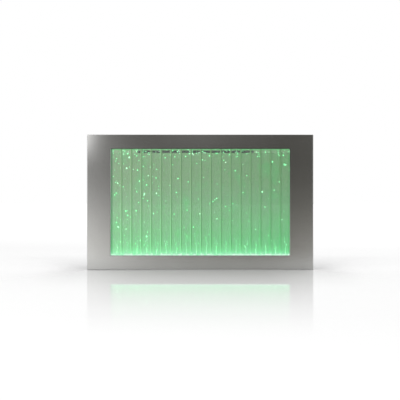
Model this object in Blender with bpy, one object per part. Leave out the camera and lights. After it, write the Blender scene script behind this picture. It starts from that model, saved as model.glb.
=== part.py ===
"""A wall-hung bubble panel: a folded steel face over a channelled acrylic water cell.

Metres. +X is the viewer's right, the face looks towards -Y and +Z is up. The wall is the plane y = 0, and
the origin is the middle of the wall rail's back face.
"""

from math import asin, cos, pi, radians, sin

import bmesh
import bpy
from mathutils import Matrix, Vector

# Whole panel
PANEL_WIDTH = 0.725
PANEL_HEIGHT = 0.4335
PANEL_DEPTH = 0.100
HANG_DROP = 0.0655
SIDE_BORDER = 0.0755
TOP_BORDER = 0.0462
BOTTOM_BORDER = 0.0462

# Clearances and working allowances
FIT_GAP = 0.0003
OVERRUN = 0.003
BITE = 0.0005
WELD = 0.000001

# Sheet metal
SHEET = 0.0015
FOLD_RADIUS = 0.002
FRAME_RETURN = 0.062
WINDOW_RETURN = 0.008
TRAY_INSET = 0.012
TRAY_STANDOFF = 0.012

# Water cell
GASKET_THICKNESS = 0.002
GASKET_WIDTH = 0.009
PANE_THICKNESS = 0.004
PANE_CHAMFER = 0.0005
WATER_GAP = 0.012
CHANNEL_COUNT = 18
CELL_LAP = 0.001
DIVIDER_THICKNESS = 0.003
DIVIDER_FOOT_GAP = 0.005
END_WALL_THICKNESS = 0.004
PANE_MARGIN = 0.010
CELL_OFFSET = 0.0035
DIFFUSER_THICKNESS = 0.003
LEVEL_SLOT_LENGTH = 0.378
LEVEL_SLOT_HEIGHT = 0.0086
LEVEL_SLOT_SHIFT = -0.0152
LEVEL_SLOT_DROP = 0.0073

# Air manifold, the bottom wall of the cell
MANIFOLD_HEIGHT = 0.014
MANIFOLD_BORE_RISE = 0.0045
MANIFOLD_BORE_RADIUS = 0.002
MANIFOLD_BORE_END = 0.005
JET_RADIUS = 0.0009
MANIFOLD_BARB_LENGTH = 0.0195
DRAIN_PORT_RISE = 0.0105
DRAIN_PORT_RADIUS = 0.0016

# Filler trough, the top of the cell
TROUGH_WALL = 0.002
TROUGH_DEPTH = 0.011
TROUGH_LEG = 0.008
FILL_SLOT_LENGTH = 0.024
FILL_SLOT_WIDTH = 0.008
NECK_LENGTH = 0.164
NECK_CLEARANCE = 0.0006

# Refill lid
LID_LAP = 0.0023
LID_END_LAP = 0.004
LID_LIP = 0.002
LID_GAP = 0.0007
KNUCKLE_RADIUS = 0.003
LID_HINGE_ROOM = 0.0046
LID_PIN_RADIUS = 0.001
PIN_CLEARANCE = 0.00015
NOTCH_RADIUS = 0.007
LUG_LENGTH = 0.008
LUG_RADIUS = 0.0034

# Light under the cell
LED_CHANNEL_WIDTH = 0.024
LED_CHANNEL_HEIGHT = 0.020
LED_CHANNEL_FLOOR = 0.0025
LED_CHANNEL_WALL = 0.003
LED_LEDGE = 0.0012
LENS_THICKNESS = 0.0025
LEDS_PER_CHANNEL = 2
LED_SIZE = 0.005
LED_RISE = 0.0012
STRIP_WIDTH = 0.008
STRIP_THICKNESS = 0.0008
STRIP_PLUG_LENGTH = 0.006
STRIP_PLUG_HEIGHT = 0.0026
LEAD_RADIUS = 0.001
PAD_THICKNESS = 0.0021
PAD_WIDTH = 0.020

# Rails that press the cell forward and wall in the light box
RAIL_SHEET = 0.0015
RAIL_FLANGE = 0.010
RAIL_FOOT = 0.012
RAIL_LOW = 0.060
RAIL_TOP_MARGIN = 0.004

# Stand-off brackets between the tray and the face's returns
BRACKET_SHEET = 0.0015
BRACKET_FLANGE = 0.012
BRACKET_EDGE = 0.002
BRACKET_LENGTH = 0.040
BRACKET_MARGIN = 0.100

# Hanging rails and bumpers
HANG_SHEET = 0.002
HANG_LENGTH = 0.500
HANG_TOP = 0.020
HANG_LOW = 0.020
WALL_RAIL_LENGTH = 0.480
WALL_RAIL_LOW = 0.020
WALL_RAIL_TOP = 0.0155
WALL_RAIL_LIP = 0.014
RAIL_HOLE_RADIUS = 0.0025
RAIL_HOLE_RISE = 0.006
BUMPER_RADIUS = 0.010
BUMPER_TIP_RADIUS = 0.008
BUMPER_FROM_SIDE = 0.040
BUMPER_RISE = 0.045

# Vents in the tray's back
VENT_LENGTH = 0.030
VENT_HEIGHT = 0.003
VENT_PITCH = 0.009
VENT_COUNT = 6
VENT_DROP = 0.0535
VENT_RISE = 0.095

# Left bay: pump, check valve and air valve
LEFT_BAY_FROM_SIDE = 0.040
PUMP_WIDTH = 0.042
PUMP_DEPTH = 0.050
PUMP_LENGTH = 0.090
PUMP_DROP = 0.1335
PUMP_CORNER = 0.004
PUMP_FOOT_HEIGHT = 0.004
PUMP_FOOT_RADIUS = 0.005
PUMP_FOOT_INSET = 0.010
PUMP_RIB = 0.001
PUMP_RIB_WIDTH = 0.002
PUMP_RIB_PITCH = 0.006
PUMP_RIB_COUNT = 4
PUMP_PORT_SHIFT = 0.014
PUMP_NOZZLE_LENGTH = 0.012
STRAP_SHEET = 0.0012
STRAP_WIDTH = 0.014
STRAP_FOOT = 0.010
BARB_RADIUS = 0.0025
BARB_LENGTH = 0.010
HOSE_RADIUS = 0.003
CHECK_VALVE_LENGTH = 0.044
CHECK_VALVE_RADIUS = 0.008
CHECK_VALVE_RIM = 0.003
VALVE_SIZE = 0.020
VALVE_HEIGHT = 0.022
VALVE_CORNER = 0.0015
VALVE_NECK_RADIUS = 0.006
VALVE_NECK_DROP = 0.0015
KNOB_RADIUS = 0.010
KNOB_HEIGHT = 0.007
KNOB_FLUTES = 12
KNOB_FLUTE_DEPTH = 0.0007
KNOB_MARK = 0.0008
STEM_RADIUS = 0.002
STEM_LENGTH = 0.008
STEM_END_GAP = 0.001

# Drain
DRAIN_TUBE_RADIUS = 0.003
DRAIN_BEND = 0.012
DRAIN_BODY_HEIGHT = 0.020
DRAIN_BODY_WIDTH = 0.018
DRAIN_BODY_END = 0.010
SPOUT_RADIUS = 0.005
SPOUT_BORE_RADIUS = 0.0035
SPOUT_BORE_DEPTH = 0.012
SPOUT_FOOT_GAP = 0.0035
LEVER_SHIFT = 0.018
LEVER_NECK_RADIUS = 0.004
LEVER_HUB_RADIUS = 0.0055
LEVER_TIP_RADIUS = 0.0035
LEVER_LENGTH = 0.0175
LEVER_THICKNESS = 0.005

# Right bay: driver, switch and gland
RIGHT_BAY_FROM_SIDE = 0.037
DRIVER_WIDTH = 0.036
DRIVER_DEPTH = 0.040
DRIVER_LENGTH = 0.120
DRIVER_DROP = 0.1935
DRIVER_CORNER = 0.003
DRIVER_EAR = 0.014
DRIVER_EAR_THICKNESS = 0.002
DRIVER_EAR_WIDTH = 0.024
DRIVER_PORT_SHIFT = 0.007
LOOM_PORT_DEPTH = 0.026
LEAD_PORT_DEPTH = 0.031
LOOM_RADIUS = 0.0025
LOOM_RISE = 0.0055
LOOM_FROM_BACK = 0.040
LOOM_BEND = 0.030
SWITCH_FLANGE_LENGTH = 0.024
SWITCH_FLANGE_WIDTH = 0.017
SWITCH_FLANGE = 0.0015
SWITCH_BODY_LENGTH = 0.0204
SWITCH_BODY_WIDTH = 0.0134
SWITCH_BODY_HEIGHT = 0.020
SWITCH_POCKET_LENGTH = 0.0184
SWITCH_POCKET_WIDTH = 0.0104
SWITCH_POCKET_DEPTH = 0.007
ROCKER_PIVOT_RISE = 0.0125
ROCKER_HALF_LENGTH = 0.0082
ROCKER_END_DROP = 0.0048
ROCKER_MIDDLE_DROP = 0.0036
ROCKER_SIDE_DROP = 0.0005
ROCKER_CROWN = 0.0026
ROCKER_CROWN_HALF = 0.005
ROCKER_TILT = radians(7)
TRUNNION_RADIUS = 0.001
TRUNNION_REACH = 0.001
GLAND_FROM_SIDE = 0.085
GLAND_HEX_RADIUS = 0.0085
GLAND_HEX_HEIGHT = 0.004
GLAND_DOME_HEIGHT = 0.0045
GLAND_DOME_RADIUS = 0.0065
GLAND_MOUTH_RADIUS = 0.0048
GLAND_THREAD_RADIUS = 0.006
GLAND_THREAD_END = 0.002
GLAND_BORE_RADIUS = 0.0034

# Facets
ROUND_SIDES = 20
SMALL_SIDES = 12
HOLE_SIDES = 16
FOLD_SEGMENTS = 3
ARC_STEPS = 6
ROUTE_STEPS = 12
TUBE_RESOLUTION = 2
SMOOTH_ANGLE = radians(35)

# Places, worked out from the sizes above
TOP_Z = HANG_DROP
BASE_Z = TOP_Z - PANEL_HEIGHT
FACE_Y = -PANEL_DEPTH
HALF_WIDTH = PANEL_WIDTH / 2
WINDOW_HALF = HALF_WIDTH - SIDE_BORDER
WINDOW_LOW = BASE_Z + BOTTOM_BORDER
WINDOW_HIGH = TOP_Z - TOP_BORDER
RETURN_END_Y = FACE_Y + FRAME_RETURN
TRAY_HALF = HALF_WIDTH - TRAY_INSET
TRAY_LOW = BASE_Z + TRAY_INSET
TRAY_HIGH = TOP_Z - TRAY_INSET
TRAY_BACK_Y = -TRAY_STANDOFF
TRAY_FLOOR = TRAY_LOW + SHEET
TRAY_CEILING = TRAY_HIGH - SHEET
BACK_SEAT_Y = TRAY_BACK_Y - SHEET - FIT_GAP
FLOOR_SEAT = TRAY_FLOOR + FIT_GAP
CONTROL_Y = (RETURN_END_Y + TRAY_BACK_Y) / 2

GASKET_Y = FACE_Y + WINDOW_RETURN + FIT_GAP
PANE_FRONT_Y = GASKET_Y + GASKET_THICKNESS + FIT_GAP
TRAY_RIM_Y = PANE_FRONT_Y
WATER_FRONT_Y = PANE_FRONT_Y + PANE_THICKNESS
WATER_BACK_Y = WATER_FRONT_Y + WATER_GAP
PANE_BACK_Y = WATER_BACK_Y + PANE_THICKNESS
WATER_Y = (WATER_FRONT_Y + WATER_BACK_Y) / 2
DIFFUSER_Y = PANE_BACK_Y + FIT_GAP
DIFFUSER_BACK_Y = DIFFUSER_Y + DIFFUSER_THICKNESS

LED_LOW = FLOOR_SEAT + PAD_THICKNESS + FIT_GAP
LED_HIGH = LED_LOW + LED_CHANNEL_HEIGHT
CELL_LOW = LED_HIGH + FIT_GAP
MANIFOLD_HIGH = CELL_LOW + MANIFOLD_HEIGHT
TROUGH_TOP = TRAY_CEILING - FIT_GAP
TROUGH_WEB_HIGH = TROUGH_TOP - TROUGH_DEPTH
TROUGH_WEB_LOW = TROUGH_WEB_HIGH - TROUGH_WALL
CELL_HIGH = TROUGH_WEB_LOW - FIT_GAP
TROUGH_FOOT = CELL_HIGH - TROUGH_LEG
TROUGH_FRONT_Y = PANE_FRONT_Y - FIT_GAP - TROUGH_WALL
TROUGH_BACK_Y = PANE_BACK_Y + FIT_GAP + TROUGH_WALL

CHANNELS_HALF = WINDOW_HALF + CELL_LAP
CHANNEL_PITCH = 2 * CHANNELS_HALF / CHANNEL_COUNT
CELL_HALF = CHANNELS_HALF + END_WALL_THICKNESS / 2
PANE_HALF = CELL_HALF + PANE_MARGIN
CELL_LEFT = CELL_OFFSET - CELL_HALF
CELL_RIGHT = CELL_OFFSET + CELL_HALF
PANE_LEFT = CELL_OFFSET - PANE_HALF
PANE_RIGHT = CELL_OFFSET + PANE_HALF

NECK_HALF = NECK_LENGTH / 2
LID_HALF = NECK_HALF + LID_END_LAP
LID_FRONT_Y = TROUGH_FRONT_Y - LID_LAP
LID_AXIS = Vector((0, TROUGH_BACK_Y + LID_HINGE_ROOM + KNUCKLE_RADIUS, TOP_Z - KNUCKLE_RADIUS))

LEFT_BAY_X = LEFT_BAY_FROM_SIDE - HALF_WIDTH
RIGHT_BAY_X = HALF_WIDTH - RIGHT_BAY_FROM_SIDE
DRAIN_X = CELL_OFFSET - CHANNELS_HALF + CHANNEL_PITCH
GLAND_X = HALF_WIDTH - GLAND_FROM_SIDE
KNOB_TOP = TRAY_LOW - VALVE_NECK_DROP - FIT_GAP
KNOB_AXIS = Vector((LEFT_BAY_X, CONTROL_Y, KNOB_TOP))
LEVER_AXIS = Vector((DRAIN_X + LEVER_SHIFT, CONTROL_Y, KNOB_TOP))
ROCKER_AXIS = Vector((RIGHT_BAY_X, CONTROL_Y, BASE_Z + ROCKER_PIVOT_RISE))
PUMP_BACK_Y = BACK_SEAT_Y - PUMP_FOOT_HEIGHT
PUMP_FRONT_Y = PUMP_BACK_Y - PUMP_DEPTH
PUMP_Y = (PUMP_BACK_Y + PUMP_FRONT_Y) / 2
PUMP_LOW = TOP_Z - PUMP_DROP - PUMP_LENGTH / 2
PUMP_HIGH = TOP_Z - PUMP_DROP + PUMP_LENGTH / 2
PUMP_NOZZLE_TIP = PUMP_LOW - PUMP_NOZZLE_LENGTH
VALVE_BARB_TIP = FLOOR_SEAT + VALVE_HEIGHT + BARB_LENGTH
CHECK_VALVE_LOW = (PUMP_NOZZLE_TIP + VALVE_BARB_TIP - CHECK_VALVE_LENGTH) / 2
DRIVER_LOW = TOP_Z - DRIVER_DROP - DRIVER_LENGTH / 2
DRIVER_HIGH = TOP_Z - DRIVER_DROP + DRIVER_LENGTH / 2

# Finishes: colour, metallic, roughness
STAINLESS = ((0.56, 0.55, 0.53), 1.0, 0.32)
ZINC = ((0.62, 0.63, 0.64), 1.0, 0.45)
GREY_PAINT = ((0.20, 0.20, 0.21), 0.0, 0.55)
CLEAR_ACRYLIC = ((0.50, 0.78, 0.53), 0.0, 0.05)
OPAL_ACRYLIC = ((0.40, 0.70, 0.42), 0.0, 0.50)
ALUMINIUM = ((0.74, 0.75, 0.76), 1.0, 0.40)
BLACK_RUBBER = ((0.03, 0.03, 0.03), 0.0, 0.80)
BLACK_PLASTIC = ((0.05, 0.05, 0.05), 0.0, 0.45)
GREY_PLASTIC = ((0.45, 0.46, 0.47), 0.0, 0.50)
WHITE_PLASTIC = ((0.85, 0.85, 0.83), 0.0, 0.45)
SILICONE = ((0.72, 0.76, 0.76), 0.0, 0.40)
NICKEL = ((0.66, 0.64, 0.60), 1.0, 0.25)


def clear_scene():
    for item in list(bpy.data.objects):
        bpy.data.objects.remove(item, do_unlink=True)


def give_finish(item, finish):
    colour, metallic, roughness = finish
    material = bpy.data.materials.new(item.name + "_finish")
    material.use_nodes = True
    shader = material.node_tree.nodes["Principled BSDF"]
    shader.inputs["Base Color"].default_value = (*colour, 1)
    shader.inputs["Metallic"].default_value = metallic
    shader.inputs["Roughness"].default_value = roughness
    material.diffuse_color = (*colour, 1)
    item.data.materials.append(material)


def solid(name, bm, finish=None, origin=Vector((0, 0, 0)), smooth=False):
    """Makes the bmesh, which is in world places, an object whose own origin is at the given point."""
    bmesh.ops.translate(bm, verts=bm.verts, vec=-origin)
    mesh = bpy.data.meshes.new(name)
    bm.to_mesh(mesh)
    bm.free()
    if smooth:
        mesh.shade_smooth()
        mesh.set_sharp_from_angle(angle=SMOOTH_ANGLE)
    item = bpy.data.objects.new(name, mesh)
    item.location = origin
    bpy.context.scene.collection.objects.link(item)
    if finish:
        give_finish(item, finish)
    return item


def combine(target, bm, operation="DIFFERENCE"):
    """Cuts the bmesh's closed shapes from the target, or joins them to it, with a hidden helper object."""
    helper = solid(f"{target.name}_{operation.lower()}_{len(target.modifiers)}", bm)
    helper.hide_render = True
    helper.display_type = "WIRE"
    modifier = target.modifiers.new(operation.title(), "BOOLEAN")
    modifier.operation = operation
    modifier.object = helper
    modifier.solver = "EXACT"


def add_block(bm, low, high):
    low, high = Vector(low), Vector(high)
    place = Matrix.Translation((low + high) / 2) @ Matrix.Diagonal((*(high - low), 1))
    return bmesh.ops.create_cube(bm, size=1, matrix=place)["verts"]


def add_rounded_block(bm, low, high, radius, segments=2):
    verts = add_block(bm, low, high)
    edges = list({edge for vert in verts for edge in vert.link_edges})
    bmesh.ops.bevel(
        bm, geom=edges, offset=radius, segments=segments, profile=0.5, affect="EDGES", material=-1
    )


def add_rod(bm, start, end, radius, end_radius=None, sides=SMALL_SIDES):
    start, end = Vector(start), Vector(end)
    length = end - start
    turn = Vector((0, 0, 1)).rotation_difference(length).to_matrix().to_4x4()
    bmesh.ops.create_cone(
        bm,
        cap_ends=True,
        segments=sides,
        radius1=radius,
        radius2=radius if end_radius is None else end_radius,
        depth=length.length,
        matrix=Matrix.Translation((start + end) / 2) @ turn,
    )


def on_axis(axis, along, first, second):
    """The point whose X, Y and Z are these: along the named axis, and the other two in their order."""
    place = [first, second]
    place.insert("XYZ".index(axis), along)
    return Vector(place)


def add_extrusion(bm, outline, axis, start, end):
    """Extrudes an outline along X, Y or Z. Its points hold the other two coordinates, in X, Y, Z order."""
    verts = [bm.verts.new(on_axis(axis, start, *point)) for point in outline]
    face = bm.faces.new(verts)
    made = bmesh.ops.extrude_face_region(bm, geom=[face])["geom"]
    moved = [item for item in made if isinstance(item, bmesh.types.BMVert)]
    bmesh.ops.translate(bm, verts=moved, vec=on_axis(axis, end - start, 0, 0))
    bmesh.ops.recalc_face_normals(bm, faces=bm.faces)


def add_turned(bm, profile, centre, sides=ROUND_SIDES):
    """Turns a profile of (radius, height) points about the upright line through the centre."""
    centre = Vector(centre)
    verts = [bm.verts.new(centre + Vector((radius, 0, height))) for radius, height in profile]
    edges = [bm.edges.new(pair) for pair in zip(verts, verts[1:])]
    bmesh.ops.spin(
        bm,
        geom=verts + edges,
        cent=centre,
        axis=(0, 0, 1),
        angle=2 * pi,
        steps=sides,
        use_merge=True,
    )
    bmesh.ops.remove_doubles(bm, verts=bm.verts, dist=WELD)
    bmesh.ops.recalc_face_normals(bm, faces=bm.faces)


def arc(centre, radius, start, end, steps=ARC_STEPS):
    """Points of an arc in the outline's plane, both ends included."""
    turns = [start + (end - start) * step / steps for step in range(steps + 1)]
    return [(centre[0] + radius * cos(turn), centre[1] + radius * sin(turn)) for turn in turns]


def slot_outline(centre, length, height):
    """A slot with round ends, lying along the outline's first coordinate."""
    reach = length / 2 - height / 2
    right = arc((centre[0] + reach, centre[1]), height / 2, -pi / 2, pi / 2, ARC_STEPS // 2 + 1)
    left = arc((centre[0] - reach, centre[1]), height / 2, pi / 2, 3 * pi / 2, ARC_STEPS // 2 + 1)
    return right + left


def folded_section(path, thickness):
    """Outline of folded sheet: the path, and back along the same path set off to its left."""
    points = [Vector(point) for point in path]
    runs = [(b - a).normalized() for a, b in zip(points, points[1:])]
    lefts = [Vector((-run.y, run.x)) for run in runs]
    befores = [lefts[0]] + lefts
    afters = lefts + [lefts[-1]]
    offset = [
        point + (before + after) * thickness / (1 + before.dot(after))
        for point, before, after in zip(points, befores, afters)
    ]
    return [tuple(point) for point in points + offset[::-1]]


def mirrored(outline, side, centre=0):
    """The outline, with its first coordinate turned to the other side of the centre where side is -1."""
    return [(centre + side * (first - centre), second) for first, second in outline]


def bezier_route(start, leave, arrive, end):
    """Points of one Bezier curve that leaves and arrives by the given handles."""
    route = []
    for step in range(2 * ROUTE_STEPS + 1):
        t = step / (2 * ROUTE_STEPS)
        route.append(
            start * (1 - t) ** 3
            + (start + leave) * 3 * t * (1 - t) ** 2
            + (end - arrive) * 3 * t**2 * (1 - t)
            + end * t**3
        )
    return route


def tube(name, route, radius, finish):
    """A hose or lead: a poly curve with a round bevel and filled ends."""
    curve = bpy.data.curves.new(name, "CURVE")
    curve.dimensions = "3D"
    curve.bevel_depth = radius
    curve.bevel_resolution = TUBE_RESOLUTION
    curve.use_fill_caps = True
    spline = curve.splines.new("POLY")
    spline.points.add(len(route) - 1)
    for point, place in zip(spline.points, route):
        point.co = (*place, 1)
    item = bpy.data.objects.new(name, curve)
    bpy.context.scene.collection.objects.link(item)
    give_finish(item, finish)


def rectangle_loop(bm, left, right, low, high, y):
    verts = [bm.verts.new((x, y, z)) for x, z in ((left, low), (right, low), (right, high), (left, high))]
    return [bm.edges.new((verts[i], verts[(i + 1) % 4])) for i in range(4)]


def pull_edges(bm, edges, depth):
    """Folds a wall from the edges: extrudes them along +Y by the depth."""
    made = bmesh.ops.extrude_edge_only(bm, edges=edges)["geom"]
    verts = [item for item in made if isinstance(item, bmesh.types.BMVert)]
    bmesh.ops.translate(bm, verts=verts, vec=(0, depth, 0))


def round_folds(bm):
    inner = [edge for edge in bm.edges if len(edge.link_faces) == 2]
    folds = [edge for edge in inner if edge.calc_face_angle() > SMOOTH_ANGLE]
    bmesh.ops.bevel(
        bm,
        geom=folds,
        offset=FOLD_RADIUS,
        segments=FOLD_SEGMENTS,
        profile=0.5,
        affect="EDGES",
        material=-1,
    )


def face_outwards(bm, outward_y):
    """Turns the shell's faces so that those square to Y look towards outward_y."""
    bmesh.ops.recalc_face_normals(bm, faces=bm.faces)
    flat = max(bm.faces, key=lambda face: abs(face.normal.y) * face.calc_area())
    if flat.normal.y * outward_y < 0:
        bmesh.ops.reverse_faces(bm, faces=bm.faces)


def thicken(item):
    modifier = item.modifiers.new("Sheet", "SOLIDIFY")
    modifier.thickness = SHEET
    modifier.offset = -1
    modifier.use_even_offset = True


def lid_opening_outline():
    """The hole in the top return: the lid's rectangle, with a half-round finger notch at each end."""
    front = LID_FRONT_Y - LID_GAP
    back = LID_AXIS.y + KNUCKLE_RADIUS + LID_GAP
    end = LID_HALF + LID_GAP
    right = arc((end, WATER_Y), NOTCH_RADIUS, -pi / 2, pi / 2)
    left = arc((-end, WATER_Y), NOTCH_RADIUS, pi / 2, 3 * pi / 2)
    return [(end, front)] + right + [(end, back), (-end, back)] + left + [(-end, front)]


def add_lid_lug(bm, side):
    """A lug under the top return that holds one end of the lid's pin."""
    inner = LID_HALF + LID_GAP + FIT_GAP
    sheet_low = TOP_Z - SHEET + BITE
    bottom = arc((LID_AXIS.y, LID_AXIS.z), LUG_RADIUS, 0, -pi)
    outline = [(LID_AXIS.y + LUG_RADIUS, sheet_low)] + bottom + [(LID_AXIS.y - LUG_RADIUS, sheet_low)]
    add_extrusion(bm, outline, "X", side * inner, side * (inner + LUG_LENGTH))


def make_front_frame():
    bm = bmesh.new()
    outer = rectangle_loop(bm, -HALF_WIDTH, HALF_WIDTH, BASE_Z, TOP_Z, FACE_Y)
    window = rectangle_loop(bm, -WINDOW_HALF, WINDOW_HALF, WINDOW_LOW, WINDOW_HIGH, FACE_Y)
    bmesh.ops.bridge_loops(bm, edges=outer + window)
    pull_edges(bm, outer, FRAME_RETURN)
    pull_edges(bm, window, WINDOW_RETURN)
    round_folds(bm)
    face_outwards(bm, -1)
    frame = solid("front_frame", bm, STAINLESS)
    thicken(frame)

    opening = bmesh.new()
    add_extrusion(opening, lid_opening_outline(), "Z", TOP_Z - SHEET - OVERRUN, TOP_Z + OVERRUN)
    combine(frame, opening)
    lugs = bmesh.new()
    for side in (-1, 1):
        add_lid_lug(lugs, side)
    combine(frame, lugs, "UNION")
    holes = bmesh.new()
    reach = LID_HALF + LID_GAP + FIT_GAP + LUG_LENGTH + OVERRUN
    along = Vector((reach, 0, 0))
    add_rod(holes, LID_AXIS - along, LID_AXIS + along, LID_PIN_RADIUS + PIN_CLEARANCE, sides=HOLE_SIDES)
    combine(frame, holes)


def tray_holes():
    """Every hole through the tray's floor strip, one closed cutter each."""
    bm = bmesh.new()
    low, high = TRAY_LOW - OVERRUN, TRAY_FLOOR + OVERRUN
    rounds = (
        (LEFT_BAY_X, VALVE_NECK_RADIUS),
        (DRAIN_X, SPOUT_RADIUS),
        (DRAIN_X + LEVER_SHIFT, LEVER_NECK_RADIUS),
        (GLAND_X, GLAND_THREAD_RADIUS),
    )
    for x, radius in rounds:
        add_rod(bm, (x, CONTROL_Y, low), (x, CONTROL_Y, high), radius + FIT_GAP, sides=ROUND_SIDES)
    half_length = SWITCH_BODY_LENGTH / 2 + FIT_GAP
    half_width = SWITCH_BODY_WIDTH / 2 + FIT_GAP
    add_block(
        bm,
        (RIGHT_BAY_X - half_length, CONTROL_Y - half_width, low),
        (RIGHT_BAY_X + half_length, CONTROL_Y + half_width, high),
    )
    return bm


def tray_vents():
    bm = bmesh.new()
    for x in (LEFT_BAY_X, RIGHT_BAY_X):
        for middle in (BASE_Z + VENT_RISE, TOP_Z - VENT_DROP):
            for row in range(VENT_COUNT):
                z = middle + (row - (VENT_COUNT - 1) / 2) * VENT_PITCH
                outline = slot_outline((x, z), VENT_LENGTH, VENT_HEIGHT)
                add_extrusion(bm, outline, "Y", TRAY_BACK_Y - SHEET - OVERRUN, TRAY_BACK_Y + OVERRUN)
    return bm


def make_back_tray():
    bm = bmesh.new()
    rim = rectangle_loop(bm, -TRAY_HALF, TRAY_HALF, TRAY_LOW, TRAY_HIGH, TRAY_BACK_Y)
    bmesh.ops.contextual_create(bm, geom=rim)
    pull_edges(bm, rim, TRAY_RIM_Y - TRAY_BACK_Y)
    round_folds(bm)
    face_outwards(bm, 1)
    tray = solid("back_tray", bm, GREY_PAINT)
    thicken(tray)
    neck = bmesh.new()
    add_block(
        neck,
        (-NECK_HALF - NECK_CLEARANCE, TRAY_RIM_Y - OVERRUN, TRAY_CEILING - OVERRUN),
        (NECK_HALF + NECK_CLEARANCE, TROUGH_BACK_Y + NECK_CLEARANCE, TRAY_HIGH + OVERRUN),
    )
    combine(tray, neck)
    combine(tray, tray_holes())
    combine(tray, tray_vents())


def make_window_gasket():
    bm = bmesh.new()
    wide = WINDOW_HALF + GASKET_WIDTH
    outer = rectangle_loop(
        bm, -wide, wide, WINDOW_LOW - GASKET_WIDTH, WINDOW_HIGH + GASKET_WIDTH, GASKET_Y
    )
    inner = rectangle_loop(bm, -WINDOW_HALF, WINDOW_HALF, WINDOW_LOW, WINDOW_HIGH, GASKET_Y)
    ring = bmesh.ops.bridge_loops(bm, edges=outer + inner)["faces"]
    made = bmesh.ops.extrude_face_region(bm, geom=ring)["geom"]
    verts = [item for item in made if isinstance(item, bmesh.types.BMVert)]
    bmesh.ops.translate(bm, verts=verts, vec=(0, GASKET_THICKNESS, 0))
    bmesh.ops.recalc_face_normals(bm, faces=bm.faces)
    solid("window_gasket", bm, BLACK_RUBBER)


def make_frame_brackets():
    """Stand-off angles, folded in a Z, that carry the face's side returns on the tray."""
    inner = TRAY_HALF + FIT_GAP + BRACKET_SHEET
    outer = HALF_WIDTH - SHEET - FIT_GAP
    back = RETURN_END_Y - BRACKET_EDGE
    middle = back - BRACKET_FLANGE
    path = [(inner, middle - BRACKET_FLANGE), (inner, middle), (outer, middle), (outer, back)]
    outline = folded_section(path, BRACKET_SHEET)
    heights = {"lower": BASE_Z + BRACKET_MARGIN, "upper": TOP_Z - BRACKET_MARGIN}
    for level, z in heights.items():
        for side, word in ((-1, "left"), (1, "right")):
            bm = bmesh.new()
            low, high = z - BRACKET_LENGTH / 2, z + BRACKET_LENGTH / 2
            add_extrusion(bm, mirrored(outline, side), "Z", low, high)
            solid(f"frame_bracket_{level}_{word}", bm, ZINC)


def make_hanging_rails():
    """A hooked rail on the tray that drops into an open rail on the wall."""
    lip_back = -HANG_SHEET - FIT_GAP
    plate_front = TRAY_BACK_Y + FIT_GAP
    hook_front = lip_back - HANG_SHEET - FIT_GAP - HANG_SHEET
    tip = -WALL_RAIL_LOW + HANG_SHEET + FIT_GAP
    hanger = [(lip_back, tip), (lip_back, HANG_TOP), (plate_front, HANG_TOP), (plate_front, -HANG_LOW)]
    wall = [
        (hook_front, WALL_RAIL_LIP - WALL_RAIL_LOW),
        (hook_front, -WALL_RAIL_LOW),
        (0, -WALL_RAIL_LOW),
        (0, WALL_RAIL_TOP),
    ]
    rails = (("hanger_rail", hanger, HANG_LENGTH, plate_front), ("wall_rail", wall, WALL_RAIL_LENGTH, 0))
    for name, path, length, plate in rails:
        bm = bmesh.new()
        add_extrusion(bm, folded_section(path, HANG_SHEET), "X", -length / 2, length / 2)
        rail = solid(name, bm, ZINC)
        reach = HANG_SHEET + OVERRUN
        holes = bmesh.new()
        for place in (-3, -1, 1, 3):
            x = place * length / 8
            start, end = (x, plate - reach, RAIL_HOLE_RISE), (x, plate + reach, RAIL_HOLE_RISE)
            add_rod(holes, start, end, RAIL_HOLE_RADIUS, sides=HOLE_SIDES)
        combine(rail, holes)


def make_wall_bumpers():
    for side, word in ((-1, "left"), (1, "right")):
        bm = bmesh.new()
        x, z = side * (HALF_WIDTH - BUMPER_FROM_SIDE), BASE_Z + BUMPER_RISE
        start, end = (x, TRAY_BACK_Y + FIT_GAP, z), (x, 0, z)
        add_rod(bm, start, end, BUMPER_RADIUS, BUMPER_TIP_RADIUS, sides=ROUND_SIDES)
        solid(f"wall_bumper_{word}", bm, BLACK_RUBBER, smooth=True)


def drain_port(start_y, end_y, radius):
    """A cutter for the drain's way through an upright sheet."""
    bm = bmesh.new()
    z = CELL_LOW + DRAIN_PORT_RISE
    add_rod(bm, (DRAIN_X, start_y, z), (DRAIN_X, end_y, z), radius, sides=HOLE_SIDES)
    return bm


def make_panes():
    front = bmesh.new()
    low, high = (PANE_LEFT, PANE_FRONT_Y, CELL_LOW), (PANE_RIGHT, WATER_FRONT_Y, CELL_HIGH)
    add_rounded_block(front, low, high, PANE_CHAMFER, segments=1)
    solid("front_pane", front, CLEAR_ACRYLIC)
    rear = bmesh.new()
    low, high = (PANE_LEFT, WATER_BACK_Y, CELL_LOW), (PANE_RIGHT, PANE_BACK_Y, CELL_HIGH)
    add_rounded_block(rear, low, high, PANE_CHAMFER, segments=1)
    pane = solid("rear_pane", rear, CLEAR_ACRYLIC)
    hole = DRAIN_TUBE_RADIUS + FIT_GAP
    combine(pane, drain_port(WATER_BACK_Y - OVERRUN, PANE_BACK_Y + OVERRUN, hole))


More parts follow.
